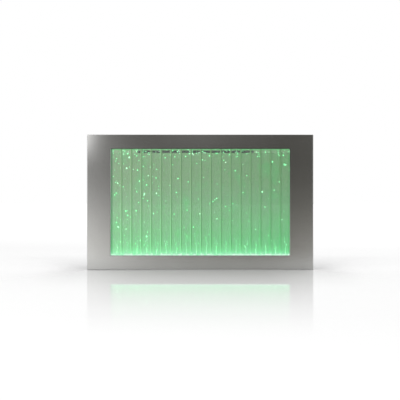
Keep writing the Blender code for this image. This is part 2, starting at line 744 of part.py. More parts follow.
def make_rear_diffuser():
    """The opal sheet behind the cell, with the dark level slot that shows near the waterline."""
    bm = bmesh.new()
    high = TROUGH_FOOT - FIT_GAP
    add_block(bm, (PANE_LEFT, DIFFUSER_Y, CELL_LOW), (PANE_RIGHT, DIFFUSER_BACK_Y, high))
    sheet = solid("rear_diffuser", bm, OPAL_ACRYLIC)
    hole = DRAIN_TUBE_RADIUS + FIT_GAP
    combine(sheet, drain_port(DIFFUSER_Y - OVERRUN, DIFFUSER_BACK_Y + OVERRUN, hole))
    slot = bmesh.new()
    outline = slot_outline(
        (LEVEL_SLOT_SHIFT, WINDOW_HIGH - LEVEL_SLOT_DROP), LEVEL_SLOT_LENGTH, LEVEL_SLOT_HEIGHT
    )
    add_extrusion(slot, outline, "Y", DIFFUSER_Y - OVERRUN, DIFFUSER_BACK_Y + OVERRUN)
    combine(sheet, slot)


def make_dividers():
    front, back = WATER_FRONT_Y + FIT_GAP, WATER_BACK_Y - FIT_GAP
    low = MANIFOLD_HIGH + DIVIDER_FOOT_GAP
    for number in range(1, CHANNEL_COUNT):
        bm = bmesh.new()
        x = CELL_OFFSET - CHANNELS_HALF + number * CHANNEL_PITCH
        half = DIVIDER_THICKNESS / 2
        add_block(bm, (x - half, front, low), (x + half, back, CELL_HIGH))
        solid(f"divider_{number:02d}", bm, CLEAR_ACRYLIC)
    for side, word in ((-1, "left"), (1, "right")):
        bm = bmesh.new()
        x = CELL_OFFSET + side * CHANNELS_HALF
        half = END_WALL_THICKNESS / 2
        add_block(bm, (x - half, front, MANIFOLD_HIGH + FIT_GAP), (x + half, back, CELL_HIGH))
        solid(f"end_wall_{word}", bm, CLEAR_ACRYLIC)


def make_air_manifold():
    """The clear bar that floors the cell: one long bore, a jet into each channel and a drain passage."""
    bm = bmesh.new()
    front, back = WATER_FRONT_Y + FIT_GAP, WATER_BACK_Y - FIT_GAP
    add_block(bm, (CELL_LEFT, front, CELL_LOW), (CELL_RIGHT, back, MANIFOLD_HIGH))
    manifold = solid("air_manifold", bm, CLEAR_ACRYLIC)
    bore_z = CELL_LOW + MANIFOLD_BORE_RISE
    tip = CELL_LEFT - MANIFOLD_BARB_LENGTH

    barb = bmesh.new()
    add_rod(barb, (tip, WATER_Y, bore_z), (CELL_LEFT + BITE, WATER_Y, bore_z), BARB_RADIUS)
    combine(manifold, barb, "UNION")
    bore = bmesh.new()
    start, end = (tip - OVERRUN, WATER_Y, bore_z), (CELL_RIGHT - MANIFOLD_BORE_END, WATER_Y, bore_z)
    add_rod(bore, start, end, MANIFOLD_BORE_RADIUS)
    combine(manifold, bore)
    jets = bmesh.new()
    for number in range(CHANNEL_COUNT):
        x = CELL_OFFSET - CHANNELS_HALF + (number + 1 / 2) * CHANNEL_PITCH
        add_rod(jets, (x, WATER_Y, bore_z), (x, WATER_Y, MANIFOLD_HIGH + OVERRUN), JET_RADIUS, sides=6)
    combine(manifold, jets)
    combine(manifold, drain_port(WATER_Y, back + OVERRUN, DRAIN_PORT_RADIUS))
    well = bmesh.new()
    port_z = CELL_LOW + DRAIN_PORT_RISE
    start, end = (DRAIN_X, WATER_Y, port_z), (DRAIN_X, WATER_Y, MANIFOLD_HIGH + OVERRUN)
    add_rod(well, start, end, DRAIN_PORT_RADIUS + BITE)
    combine(manifold, well)


def make_filler_trough():
    """An H in section: legs over the panes, a slotted web on them and an open trough with a filler neck."""
    left, right = PANE_LEFT - FIT_GAP - TROUGH_WALL, PANE_RIGHT + FIT_GAP + TROUGH_WALL
    inner_front, inner_back = TROUGH_FRONT_Y + TROUGH_WALL, TROUGH_BACK_Y - TROUGH_WALL
    neck_top = TOP_Z - SHEET - FIT_GAP
    bm = bmesh.new()
    add_block(bm, (left, TROUGH_FRONT_Y, TROUGH_FOOT), (right, TROUGH_BACK_Y, TROUGH_TOP))
    trough = solid("filler_trough", bm, GREY_PLASTIC)

    neck = bmesh.new()
    low, high = (-NECK_HALF, TROUGH_FRONT_Y, TROUGH_WEB_HIGH), (NECK_HALF, TROUGH_BACK_Y, neck_top)
    add_block(neck, low, high)
    combine(trough, neck, "UNION")
    basin = bmesh.new()
    add_block(
        basin,
        (left + TROUGH_WALL, inner_front, TROUGH_WEB_HIGH),
        (-NECK_HALF, inner_back, TROUGH_TOP + OVERRUN),
    )
    add_block(
        basin,
        (NECK_HALF, inner_front, TROUGH_WEB_HIGH),
        (right - TROUGH_WALL, inner_back, TROUGH_TOP + OVERRUN),
    )
    combine(trough, basin)
    passage = bmesh.new()
    low = (-NECK_HALF - OVERRUN, inner_front, TROUGH_WEB_HIGH)
    high = (NECK_HALF + OVERRUN, inner_back, TROUGH_TOP)
    add_block(passage, low, high)
    combine(trough, passage)
    mouth = bmesh.new()
    low = (TROUGH_WALL - NECK_HALF, inner_front, TROUGH_TOP - OVERRUN)
    high = (NECK_HALF - TROUGH_WALL, inner_back, neck_top + OVERRUN)
    add_block(mouth, low, high)
    combine(trough, mouth)
    seat = bmesh.new()
    low = (PANE_LEFT - FIT_GAP, PANE_FRONT_Y - FIT_GAP, TROUGH_FOOT - OVERRUN)
    high = (PANE_RIGHT + FIT_GAP, PANE_BACK_Y + FIT_GAP, TROUGH_WEB_LOW)
    add_block(seat, low, high)
    combine(trough, seat)
    slots = bmesh.new()
    for number in range(CHANNEL_COUNT):
        x = CELL_OFFSET - CHANNELS_HALF + (number + 1 / 2) * CHANNEL_PITCH
        outline = slot_outline((x, WATER_Y), FILL_SLOT_LENGTH, FILL_SLOT_WIDTH)
        add_extrusion(slots, outline, "Z", TROUGH_WEB_LOW - OVERRUN, TROUGH_WEB_HIGH + OVERRUN)
    combine(trough, slots)


def make_led_channel():
    front, back = WATER_Y - LED_CHANNEL_WIDTH / 2, WATER_Y + LED_CHANNEL_WIDTH / 2
    floor = LED_LOW + LED_CHANNEL_FLOOR
    ledge_high = LED_HIGH - FIT_GAP - LENS_THICKNESS - FIT_GAP
    ledge_low = ledge_high - LED_LEDGE
    wall, ledge = LED_CHANNEL_WALL, LED_CHANNEL_WALL + LED_LEDGE
    half = [
        (LED_CHANNEL_WIDTH / 2, LED_LOW),
        (LED_CHANNEL_WIDTH / 2, LED_HIGH),
        (LED_CHANNEL_WIDTH / 2 - wall, LED_HIGH),
        (LED_CHANNEL_WIDTH / 2 - wall, ledge_high),
        (LED_CHANNEL_WIDTH / 2 - ledge, ledge_high),
        (LED_CHANNEL_WIDTH / 2 - ledge, ledge_low),
        (LED_CHANNEL_WIDTH / 2 - wall, ledge_low),
        (LED_CHANNEL_WIDTH / 2 - wall, floor),
    ]
    outline = [(WATER_Y + y, z) for y, z in half] + [(WATER_Y - y, z) for y, z in half[::-1]]
    bm = bmesh.new()
    add_extrusion(bm, outline, "X", PANE_LEFT, PANE_RIGHT)
    solid("led_channel", bm, ALUMINIUM)

    lens = bmesh.new()
    low = (PANE_LEFT, front + wall + FIT_GAP, ledge_high + FIT_GAP)
    high = (PANE_RIGHT, back - wall - FIT_GAP, LED_HIGH - FIT_GAP)
    add_block(lens, low, high)
    solid("led_lens", lens, OPAL_ACRYLIC)


def make_led_strip():
    """The strip on the channel's floor: two packages under each water channel, and a plug for its lead."""
    low = LED_LOW + LED_CHANNEL_FLOOR + FIT_GAP
    high = low + STRIP_THICKNESS
    start, end = CELL_OFFSET - CHANNELS_HALF, CELL_OFFSET + CHANNELS_HALF
    bm = bmesh.new()
    add_block(bm, (start, WATER_Y - STRIP_WIDTH / 2, low), (end, WATER_Y + STRIP_WIDTH / 2, high))
    strip = solid("led_strip", bm, WHITE_PLASTIC)
    packages = bmesh.new()
    count = CHANNEL_COUNT * LEDS_PER_CHANNEL
    pitch = CHANNEL_PITCH / LEDS_PER_CHANNEL
    half = LED_SIZE / 2
    for number in range(count):
        x = start + (number + 1 / 2) * pitch
        low_corner = (x - half, WATER_Y - half, high - STRIP_THICKNESS / 2)
        add_block(packages, low_corner, (x + half, WATER_Y + half, high + LED_RISE))
    combine(strip, packages, "UNION")
    plug = bmesh.new()
    half = STRIP_WIDTH / 2 - BITE
    add_block(
        plug,
        (end - BITE, WATER_Y - half, low),
        (end + STRIP_PLUG_LENGTH, WATER_Y + half, low + STRIP_PLUG_HEIGHT),
    )
    combine(strip, plug, "UNION")


def make_cell_pad():
    bm = bmesh.new()
    low = (PANE_LEFT, WATER_Y - PAD_WIDTH / 2, FLOOR_SEAT)
    high = (PANE_RIGHT, WATER_Y + PAD_WIDTH / 2, FLOOR_SEAT + PAD_THICKNESS)
    add_block(bm, low, high)
    solid("cell_pad", bm, BLACK_RUBBER)


def make_cell_rails():
    """Z-folded rails from the tray's back to the diffuser's margins."""
    front = DIFFUSER_BACK_Y + FIT_GAP
    tip = CELL_OFFSET + PANE_HALF
    web = tip - RAIL_FLANGE
    ahead = front + RAIL_SHEET
    path = [(tip, ahead), (web, ahead), (web, BACK_SEAT_Y), (web - RAIL_FOOT, BACK_SEAT_Y)]
    outline = folded_section(path, RAIL_SHEET)
    for side, word in ((-1, "left"), (1, "right")):
        bm = bmesh.new()
        low, high = BASE_Z + RAIL_LOW, TROUGH_FOOT - RAIL_TOP_MARGIN
        add_extrusion(bm, mirrored(outline, side, CELL_OFFSET), "Z", low, high)
        solid(f"cell_rail_{word}", bm, ZINC)


def make_refill_lid():
    """A flush lid whose back edge is rolled round the pin, with a stiffening lip along its front."""
    axis = (LID_AXIS.y, LID_AXIS.z)
    under = TOP_Z - SHEET
    meet = pi - asin((KNUCKLE_RADIUS - SHEET) / KNUCKLE_RADIUS)
    outline = [(LID_FRONT_Y, TOP_Z)]
    outline += arc(axis, KNUCKLE_RADIUS, pi / 2, meet - 2 * pi, 3 * ARC_STEPS)
    outline += [
        (LID_FRONT_Y + SHEET, under),
        (LID_FRONT_Y + SHEET, under - LID_LIP),
        (LID_FRONT_Y, under - LID_LIP),
    ]
    bm = bmesh.new()
    add_extrusion(bm, outline, "X", -LID_HALF, LID_HALF)
    lid = solid("refill_lid", bm, STAINLESS, LID_AXIS, smooth=True)
    bore = bmesh.new()
    along = Vector((LID_HALF + OVERRUN, 0, 0))
    add_rod(bore, LID_AXIS - along, LID_AXIS + along, LID_PIN_RADIUS + PIN_CLEARANCE, sides=HOLE_SIDES)
    combine(lid, bore)


def make_lid_hinge_pin():
    bm = bmesh.new()
    along = Vector((LID_HALF + LID_GAP + FIT_GAP + LUG_LENGTH, 0, 0))
    add_rod(bm, LID_AXIS - along, LID_AXIS + along, LID_PIN_RADIUS, sides=HOLE_SIDES)
    solid("lid_hinge_pin", bm, ZINC, smooth=True)


def make_air_pump():
    """A rounded pump case on four rubber feet, ribbed in front, with its nozzle and lead entry below."""
    half = PUMP_WIDTH / 2
    bm = bmesh.new()
    low = (LEFT_BAY_X - half, PUMP_FRONT_Y, PUMP_LOW)
    high = (LEFT_BAY_X + half, PUMP_BACK_Y, PUMP_HIGH)
    add_rounded_block(bm, low, high, PUMP_CORNER)
    pump = solid("air_pump", bm, BLACK_PLASTIC, smooth=True)
    fittings = bmesh.new()
    for across in (-1, 1):
        for z in (PUMP_LOW + PUMP_FOOT_INSET, PUMP_HIGH - PUMP_FOOT_INSET):
            x = LEFT_BAY_X + across * (half - PUMP_FOOT_INSET)
            start, end = (x, PUMP_BACK_Y - BITE, z), (x, BACK_SEAT_Y, z)
            add_rod(fittings, start, end, PUMP_FOOT_RADIUS)
    nozzle_x = LEFT_BAY_X - PUMP_PORT_SHIFT
    start, end = (nozzle_x, PUMP_Y, PUMP_LOW + BITE), (nozzle_x, PUMP_Y, PUMP_NOZZLE_TIP)
    add_rod(fittings, start, end, BARB_RADIUS)
    combine(pump, fittings, "UNION")
    grooves = bmesh.new()
    for across in (-1, 1):
        for rib in range(PUMP_RIB_COUNT):
            z = PUMP_HIGH - PUMP_CORNER - (rib + 1) * PUMP_RIB_PITCH
            inner = LEFT_BAY_X + across * (STRAP_WIDTH / 2 + PUMP_RIB_WIDTH / 2)
            outer = LEFT_BAY_X + across * (half - PUMP_CORNER)
            low = (min(inner, outer), PUMP_FRONT_Y - OVERRUN, z)
            high = (max(inner, outer), PUMP_FRONT_Y + PUMP_RIB, z + PUMP_RIB_WIDTH)
            add_block(grooves, low, high)
    combine(pump, grooves)


def make_pump_strap():
    front, low, high = PUMP_FRONT_Y - FIT_GAP, PUMP_LOW - FIT_GAP, PUMP_HIGH + FIT_GAP
    path = [
        (BACK_SEAT_Y, low - STRAP_FOOT),
        (BACK_SEAT_Y, low),
        (front, low),
        (front, high),
        (BACK_SEAT_Y, high),
        (BACK_SEAT_Y, high + STRAP_FOOT),
    ]
    bm = bmesh.new()
    start, end = LEFT_BAY_X - STRAP_WIDTH / 2, LEFT_BAY_X + STRAP_WIDTH / 2
    add_extrusion(bm, folded_section(path, STRAP_SHEET), "X", start, end)
    solid("pump_strap", bm, ZINC)


def make_check_valve():
    length = CHECK_VALVE_LENGTH
    shoulder, rim = BARB_LENGTH, CHECK_VALVE_RIM
    profile = [
        (0, length),
        (BARB_RADIUS, length),
        (BARB_RADIUS, length - shoulder),
        (CHECK_VALVE_RADIUS - rim, length - shoulder),
        (CHECK_VALVE_RADIUS, length / 2 + rim),
        (CHECK_VALVE_RADIUS, length / 2 - rim),
        (CHECK_VALVE_RADIUS - rim, shoulder),
        (BARB_RADIUS, shoulder),
        (BARB_RADIUS, 0),
        (0, 0),
    ]
    bm = bmesh.new()
    add_turned(bm, profile, (LEFT_BAY_X, CONTROL_Y, CHECK_VALVE_LOW))
    solid("check_valve", bm, WHITE_PLASTIC, smooth=True)


def make_air_valve_body():
    """The needle valve's body on the tray floor, with barbs for both hoses and a neck for the knob's stem."""
    half = VALVE_SIZE / 2
    high = FLOOR_SEAT + VALVE_HEIGHT
    bm = bmesh.new()
    low_corner = (LEFT_BAY_X - half, CONTROL_Y - half, FLOOR_SEAT)
    add_rounded_block(bm, low_corner, (LEFT_BAY_X + half, CONTROL_Y + half, high), VALVE_CORNER, 1)
    body = solid("air_valve_body", bm, NICKEL)
    fittings = bmesh.new()
    axis = (LEFT_BAY_X, CONTROL_Y)
    add_rod(fittings, (*axis, high - BITE), (*axis, VALVE_BARB_TIP), BARB_RADIUS)
    middle = FLOOR_SEAT + VALVE_HEIGHT / 2
    start = (LEFT_BAY_X, CONTROL_Y - half + BITE, middle)
    add_rod(fittings, start, (LEFT_BAY_X, CONTROL_Y - half - BARB_LENGTH, middle), BARB_RADIUS)
    start, end = (*axis, FLOOR_SEAT + BITE), (*axis, TRAY_LOW - VALVE_NECK_DROP)
    add_rod(fittings, start, end, VALVE_NECK_RADIUS, sides=ROUND_SIDES)
    combine(body, fittings, "UNION")
    bore = bmesh.new()
    start, end = (*axis, KNOB_TOP - OVERRUN), (*axis, KNOB_TOP + STEM_LENGTH + STEM_END_GAP)
    add_rod(bore, start, end, STEM_RADIUS + PIN_CLEARANCE, sides=HOLE_SIDES)
    combine(body, bore)


def make_air_knob():
    """A fluted knob under the tray, with a pointer groove across its face and a stem into the valve."""
    count = 4 * KNOB_FLUTES
    outline = []
    for step in range(count):
        turn = 2 * pi * step / count
        radius = KNOB_RADIUS - KNOB_FLUTE_DEPTH * (1 - cos(KNOB_FLUTES * turn)) / 2
        outline.append((KNOB_AXIS.x + radius * cos(turn), KNOB_AXIS.y + radius * sin(turn)))
    bm = bmesh.new()
    low = KNOB_TOP - KNOB_HEIGHT
    add_extrusion(bm, outline, "Z", low, KNOB_TOP)
    knob = solid("air_knob", bm, BLACK_PLASTIC, KNOB_AXIS, smooth=True)
    stem = bmesh.new()
    axis = (KNOB_AXIS.x, KNOB_AXIS.y)
    start, end = (*axis, KNOB_TOP - BITE), (*axis, KNOB_TOP + STEM_LENGTH)
    add_rod(stem, start, end, STEM_RADIUS, sides=HOLE_SIDES)
    combine(knob, stem, "UNION")
    groove = bmesh.new()
    half = KNOB_MARK / 2
    add_block(
        groove,
        (KNOB_AXIS.x - half, KNOB_AXIS.y - KNOB_RADIUS - OVERRUN, low - OVERRUN),
        (KNOB_AXIS.x + half, KNOB_AXIS.y, low + KNOB_MARK),
    )
    combine(knob, groove)


def make_air_hoses():
    valve_top = Vector((LEFT_BAY_X, CONTROL_Y, VALVE_BARB_TIP + FIT_GAP))
    check_low = Vector((LEFT_BAY_X, CONTROL_Y, CHECK_VALVE_LOW - FIT_GAP))
    check_high = check_low + Vector((0, 0, CHECK_VALVE_LENGTH + 2 * FIT_GAP))
    nozzle = Vector((LEFT_BAY_X - PUMP_PORT_SHIFT, PUMP_Y, PUMP_NOZZLE_TIP - FIT_GAP))
    tube("lower_air_hose", [valve_top.lerp(check_low, step / 4) for step in range(5)], HOSE_RADIUS, SILICONE)
    handle = Vector((0, 0, (nozzle.z - check_high.z) / 2))
    tube("upper_air_hose", bezier_route(check_high, handle, handle, nozzle), HOSE_RADIUS, SILICONE)

    manifold_tip = Vector((
        CELL_LEFT - MANIFOLD_BARB_LENGTH - FIT_GAP,
        WATER_Y,
        CELL_LOW + MANIFOLD_BORE_RISE,
    ))
    outlet = Vector((
        LEFT_BAY_X,
        CONTROL_Y - VALVE_SIZE / 2 - BARB_LENGTH - FIT_GAP,
        FLOOR_SEAT + VALVE_HEIGHT / 2,
    ))
    leave = Vector((outlet.x - manifold_tip.x, 0, 0))
    arrive = Vector((0, (outlet.y - manifold_tip.y) / 2, 0))
    tube("manifold_hose", bezier_route(manifold_tip, leave, arrive, outlet), HOSE_RADIUS, SILICONE)


def add_swept_tube(bm, route, radius, sides=SMALL_SIDES):
    """A round bar swept along a route that lies square to X."""
    across = Vector((1, 0, 0))
    rings = []
    for before, point, after in zip([route[0]] + route, route, route[1:] + [route[-1]]):
        up = across.cross(after - before).normalized()
        turns = [2 * pi * step / sides for step in range(sides)]
        rings.append([bm.verts.new(point + radius * (cos(turn) * across + sin(turn) * up)) for turn in turns])
    for first, second in zip(rings, rings[1:]):
        for i in range(sides):
            j = (i + 1) % sides
            bm.faces.new((first[i], first[j], second[j], second[i]))
    bm.faces.new(rings[0])
    bm.faces.new(rings[-1])
    bmesh.ops.recalc_face_normals(bm, faces=bm.faces)


def drain_route(body_top):
    """From the cell side of the rear pane straight back, and in one bend down into the drain valve."""
    z = CELL_LOW + DRAIN_PORT_RISE
    bend = arc((CONTROL_Y - DRAIN_BEND, z - DRAIN_BEND), DRAIN_BEND, pi / 2, 0)
    outline = [(WATER_BACK_Y, z)] + bend + [(CONTROL_Y, body_top - BITE)]
    return [Vector((DRAIN_X, *point)) for point in outline]


def make_drain_valve_body():
    """The drain cock on the tray floor: tube from the cell, spout below and a neck for the lever's stem."""
    half = DRAIN_BODY_WIDTH / 2
    top = FLOOR_SEAT + DRAIN_BODY_HEIGHT
    bm = bmesh.new()
    low = (DRAIN_X - DRAIN_BODY_END, CONTROL_Y - half, FLOOR_SEAT)
    high = (LEVER_AXIS.x + DRAIN_BODY_END, CONTROL_Y + half, top)
    add_rounded_block(bm, low, high, VALVE_CORNER, 1)
    body = solid("drain_valve_body", bm, NICKEL)
    pipe = bmesh.new()
    add_swept_tube(pipe, drain_route(top), DRAIN_TUBE_RADIUS)
    combine(body, pipe, "UNION")
    necks = bmesh.new()
    start, end = (DRAIN_X, CONTROL_Y, FLOOR_SEAT + BITE), (DRAIN_X, CONTROL_Y, BASE_Z + SPOUT_FOOT_GAP)
    add_rod(necks, start, end, SPOUT_RADIUS, sides=ROUND_SIDES)
    start = (LEVER_AXIS.x, CONTROL_Y, FLOOR_SEAT + BITE)
    end = (LEVER_AXIS.x, CONTROL_Y, TRAY_LOW - VALVE_NECK_DROP)
    add_rod(necks, start, end, LEVER_NECK_RADIUS, sides=ROUND_SIDES)
    combine(body, necks, "UNION")
    bores = bmesh.new()
    mouth = BASE_Z + SPOUT_FOOT_GAP
    start, end = (DRAIN_X, CONTROL_Y, mouth - OVERRUN), (DRAIN_X, CONTROL_Y, mouth + SPOUT_BORE_DEPTH)
    add_rod(bores, start, end, SPOUT_BORE_RADIUS, sides=HOLE_SIDES)
    start = (LEVER_AXIS.x, CONTROL_Y, KNOB_TOP - OVERRUN)
    end = (LEVER_AXIS.x, CONTROL_Y, KNOB_TOP + STEM_LENGTH + STEM_END_GAP)
    add_rod(bores, start, end, STEM_RADIUS + PIN_CLEARANCE, sides=HOLE_SIDES)
    combine(body, bores)


def make_drain_lever():
    """A tapered lever below the tray; it points along +X when the drain is shut."""
    x, y = LEVER_AXIS.x, LEVER_AXIS.y
    hub = arc((x, y), LEVER_HUB_RADIUS, pi / 2, 3 * pi / 2, 2 * ARC_STEPS)
    tip = arc((x + LEVER_LENGTH - LEVER_TIP_RADIUS, y), LEVER_TIP_RADIUS, -pi / 2, pi / 2)
    bm = bmesh.new()
    add_extrusion(bm, hub + tip, "Z", KNOB_TOP - LEVER_THICKNESS, KNOB_TOP)
    lever = solid("drain_lever", bm, BLACK_PLASTIC, LEVER_AXIS, smooth=True)
    stem = bmesh.new()
    start, end = (x, y, KNOB_TOP - BITE), (x, y, KNOB_TOP + STEM_LENGTH)
    add_rod(stem, start, end, STEM_RADIUS, sides=HOLE_SIDES)
    combine(lever, stem, "UNION")


def make_power_driver():
    half = DRIVER_WIDTH / 2
    front = BACK_SEAT_Y - DRIVER_DEPTH
    bm = bmesh.new()
    low, high = (RIGHT_BAY_X - half, front, DRIVER_LOW), (RIGHT_BAY_X + half, BACK_SEAT_Y, DRIVER_HIGH)
    add_rounded_block(bm, low, high, DRIVER_CORNER)
    driver = solid("power_driver", bm, WHITE_PLASTIC, smooth=True)
    ears = bmesh.new()
    half = DRIVER_EAR_WIDTH / 2
    add_block(
        ears,
        (RIGHT_BAY_X - half, BACK_SEAT_Y - DRIVER_EAR_THICKNESS, DRIVER_LOW - DRIVER_EAR),
        (RIGHT_BAY_X + half, BACK_SEAT_Y, DRIVER_HIGH + DRIVER_EAR),
    )
    combine(driver, ears, "UNION")
    holes = bmesh.new()
    for z in (DRIVER_LOW - DRIVER_EAR / 2, DRIVER_HIGH + DRIVER_EAR / 2):
        start = (RIGHT_BAY_X, BACK_SEAT_Y - DRIVER_EAR_THICKNESS - OVERRUN, z)
        add_rod(holes, start, (RIGHT_BAY_X, BACK_SEAT_Y + OVERRUN, z), RAIL_HOLE_RADIUS)
    combine(driver, holes)


def make_leads():
    """The strip's lead, up to the driver, and the loom along the floor from the driver to the pump."""
    plug_end = CELL_OFFSET + CHANNELS_HALF + STRIP_PLUG_LENGTH + FIT_GAP
    plug_z = LED_LOW + LED_CHANNEL_FLOOR + FIT_GAP + STRIP_PLUG_HEIGHT / 2
    start = Vector((plug_end, WATER_Y, plug_z))
    end = Vector((RIGHT_BAY_X - DRIVER_PORT_SHIFT, BACK_SEAT_Y - LEAD_PORT_DEPTH, DRIVER_LOW - FIT_GAP))
    leave = Vector((end.x - start.x, 0, 0))
    arrive = Vector((0, 0, (end.z - start.z) / 2))
    tube("led_lead", bezier_route(start, leave, arrive, end), LEAD_RADIUS, WHITE_PLASTIC)

    floor_z = FLOOR_SEAT + LOOM_RISE
    run_y = BACK_SEAT_Y - LOOM_FROM_BACK
    right = RIGHT_BAY_X + DRIVER_PORT_SHIFT
    left = LEFT_BAY_X + PUMP_PORT_SHIFT
    driver_end = Vector((right, BACK_SEAT_Y - LOOM_PORT_DEPTH, DRIVER_LOW - FIT_GAP))
    pump_end = Vector((left, PUMP_Y, PUMP_LOW - FIT_GAP))
    route = bezier_route(
        driver_end,
        Vector((0, 0, (floor_z - driver_end.z) / 2)),
        Vector((-LOOM_BEND, 0, 0)),
        Vector((right - LOOM_BEND, run_y, floor_z)),
    )
    route += bezier_route(
        Vector((left + LOOM_BEND, run_y, floor_z)),
        Vector((-LOOM_BEND, 0, 0)),
        Vector((0, 0, (pump_end.z - floor_z) / 2)),
        pump_end,
    )
    tube("wiring_loom", route, LOOM_RADIUS, BLACK_RUBBER)


def make_switch_body():
    flange_high = TRAY_LOW - FIT_GAP
    flange_low = flange_high - SWITCH_FLANGE
    bm = bmesh.new()
    half_length, half_width = SWITCH_FLANGE_LENGTH / 2, SWITCH_FLANGE_WIDTH / 2
    add_block(
        bm,
        (RIGHT_BAY_X - half_length, CONTROL_Y - half_width, flange_low),
        (RIGHT_BAY_X + half_length, CONTROL_Y + half_width, flange_high),
    )
    body = solid("switch_body", bm, BLACK_PLASTIC)
    case = bmesh.new()
    half_length, half_width = SWITCH_BODY_LENGTH / 2, SWITCH_BODY_WIDTH / 2
    add_block(
        case,
        (RIGHT_BAY_X - half_length, CONTROL_Y - half_width, flange_high - BITE),
        (RIGHT_BAY_X + half_length, CONTROL_Y + half_width, flange_high + SWITCH_BODY_HEIGHT),
    )
    combine(body, case, "UNION")
    pocket = bmesh.new()
    half_length, half_width = SWITCH_POCKET_LENGTH / 2, SWITCH_POCKET_WIDTH / 2
    add_block(
        pocket,
        (RIGHT_BAY_X - half_length, CONTROL_Y - half_width, flange_low - OVERRUN),
        (RIGHT_BAY_X + half_length, CONTROL_Y + half_width, flange_low + SWITCH_POCKET_DEPTH),
    )
    combine(body, pocket)
    bearing = bmesh.new()
    along = Vector((0, SWITCH_FLANGE_WIDTH / 2 + OVERRUN, 0))
    start, end = ROCKER_AXIS - along, ROCKER_AXIS + along
    add_rod(bearing, start, end, TRUNNION_RADIUS + PIN_CLEARANCE, sides=HOLE_SIDES)
    combine(body, bearing)


def make_power_rocker():
    """A rocker with a shallow V face, tipped to its on side, on two trunnions."""
    profile = [
        (-ROCKER_HALF_LENGTH, -ROCKER_END_DROP),
        (0, -ROCKER_MIDDLE_DROP),
        (ROCKER_HALF_LENGTH, -ROCKER_END_DROP),
        (ROCKER_HALF_LENGTH, -ROCKER_SIDE_DROP),
        (ROCKER_CROWN_HALF, ROCKER_CROWN),
        (-ROCKER_CROWN_HALF, ROCKER_CROWN),
        (-ROCKER_HALF_LENGTH, -ROCKER_SIDE_DROP),
    ]
    outline = [(ROCKER_AXIS.x + x, ROCKER_AXIS.z + z) for x, z in profile]
    half = SWITCH_POCKET_WIDTH / 2 - FIT_GAP
    bm = bmesh.new()
    add_extrusion(bm, outline, "Y", CONTROL_Y - half, CONTROL_Y + half)
    rocker = solid("power_rocker", bm, BLACK_PLASTIC, ROCKER_AXIS)
    pins = bmesh.new()
    along = Vector((0, half + FIT_GAP + TRUNNION_REACH, 0))
    add_rod(pins, ROCKER_AXIS - along, ROCKER_AXIS + along, TRUNNION_RADIUS)
    bmesh.ops.translate(pins, verts=pins.verts, vec=-ROCKER_AXIS)
    combine(rocker, pins, "UNION")
    helper = bpy.data.objects[f"{rocker.name}_union_0"]
    helper.parent = rocker
    rocker.rotation_euler.y = -ROCKER_TILT


def make_power_gland():
    """A cable gland through the tray floor: hex and dome nut below, locknut above, open right through."""
    bm = bmesh.new()
    hex_high = TRAY_LOW - FIT_GAP
    hex_low = hex_high - GLAND_HEX_HEIGHT
    nut_low = FLOOR_SEAT
    nut_high = nut_low + GLAND_HEX_HEIGHT
    axis = (GLAND_X, CONTROL_Y)
    add_rod(bm, (*axis, hex_low), (*axis, hex_high), GLAND_HEX_RADIUS, sides=6)
    gland = solid("power_gland", bm, BLACK_PLASTIC)
    thread = bmesh.new()
    start, end = (*axis, hex_high - BITE), (*axis, nut_high + GLAND_THREAD_END)
    add_rod(thread, start, end, GLAND_THREAD_RADIUS, sides=ROUND_SIDES)
    combine(gland, thread, "UNION")
    nuts = bmesh.new()
    add_rod(nuts, (*axis, nut_low), (*axis, nut_high), GLAND_HEX_RADIUS, sides=6)
    start, end = (*axis, hex_low + BITE), (*axis, hex_low - GLAND_DOME_HEIGHT)
    add_rod(nuts, start, end, GLAND_DOME_RADIUS, GLAND_MOUTH_RADIUS, sides=ROUND_SIDES)
    combine(gland, nuts, "UNION")
    bore = bmesh.new()
    start = (*axis, hex_low - GLAND_DOME_HEIGHT - OVERRUN)
    end = (*axis, nut_high + GLAND_THREAD_END + OVERRUN)
    add_rod(bore, start, end, GLAND_BORE_RADIUS, sides=HOLE_SIDES)
    combine(gland, bore)


def main():
    clear_scene()
    make_front_frame()
    make_back_tray()
    make_frame_brackets()
    make_hanging_rails()
    make_wall_bumpers()
    make_window_gasket()
    make_panes()
    make_rear_diffuser()
    make_dividers()
    make_air_manifold()
    make_filler_trough()
    make_led_channel()
    make_led_strip()
    make_cell_pad()
    make_cell_rails()
    make_refill_lid()
    make_lid_hinge_pin()
    make_air_pump()
    make_pump_strap()
    make_check_valve()
    make_air_valve_body()
    make_air_knob()
    make_air_hoses()
    make_drain_valve_body()
    make_drain_lever()
    make_power_driver()
    make_leads()
    make_switch_body()
    make_power_rocker()
    make_power_gland()


main()
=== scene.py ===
"""The looks of the bubble panel: water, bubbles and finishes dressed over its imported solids."""

from math import atan, cos, pi, radians
from random import Random

import bmesh
import bpy
from mathutils import Matrix, Vector


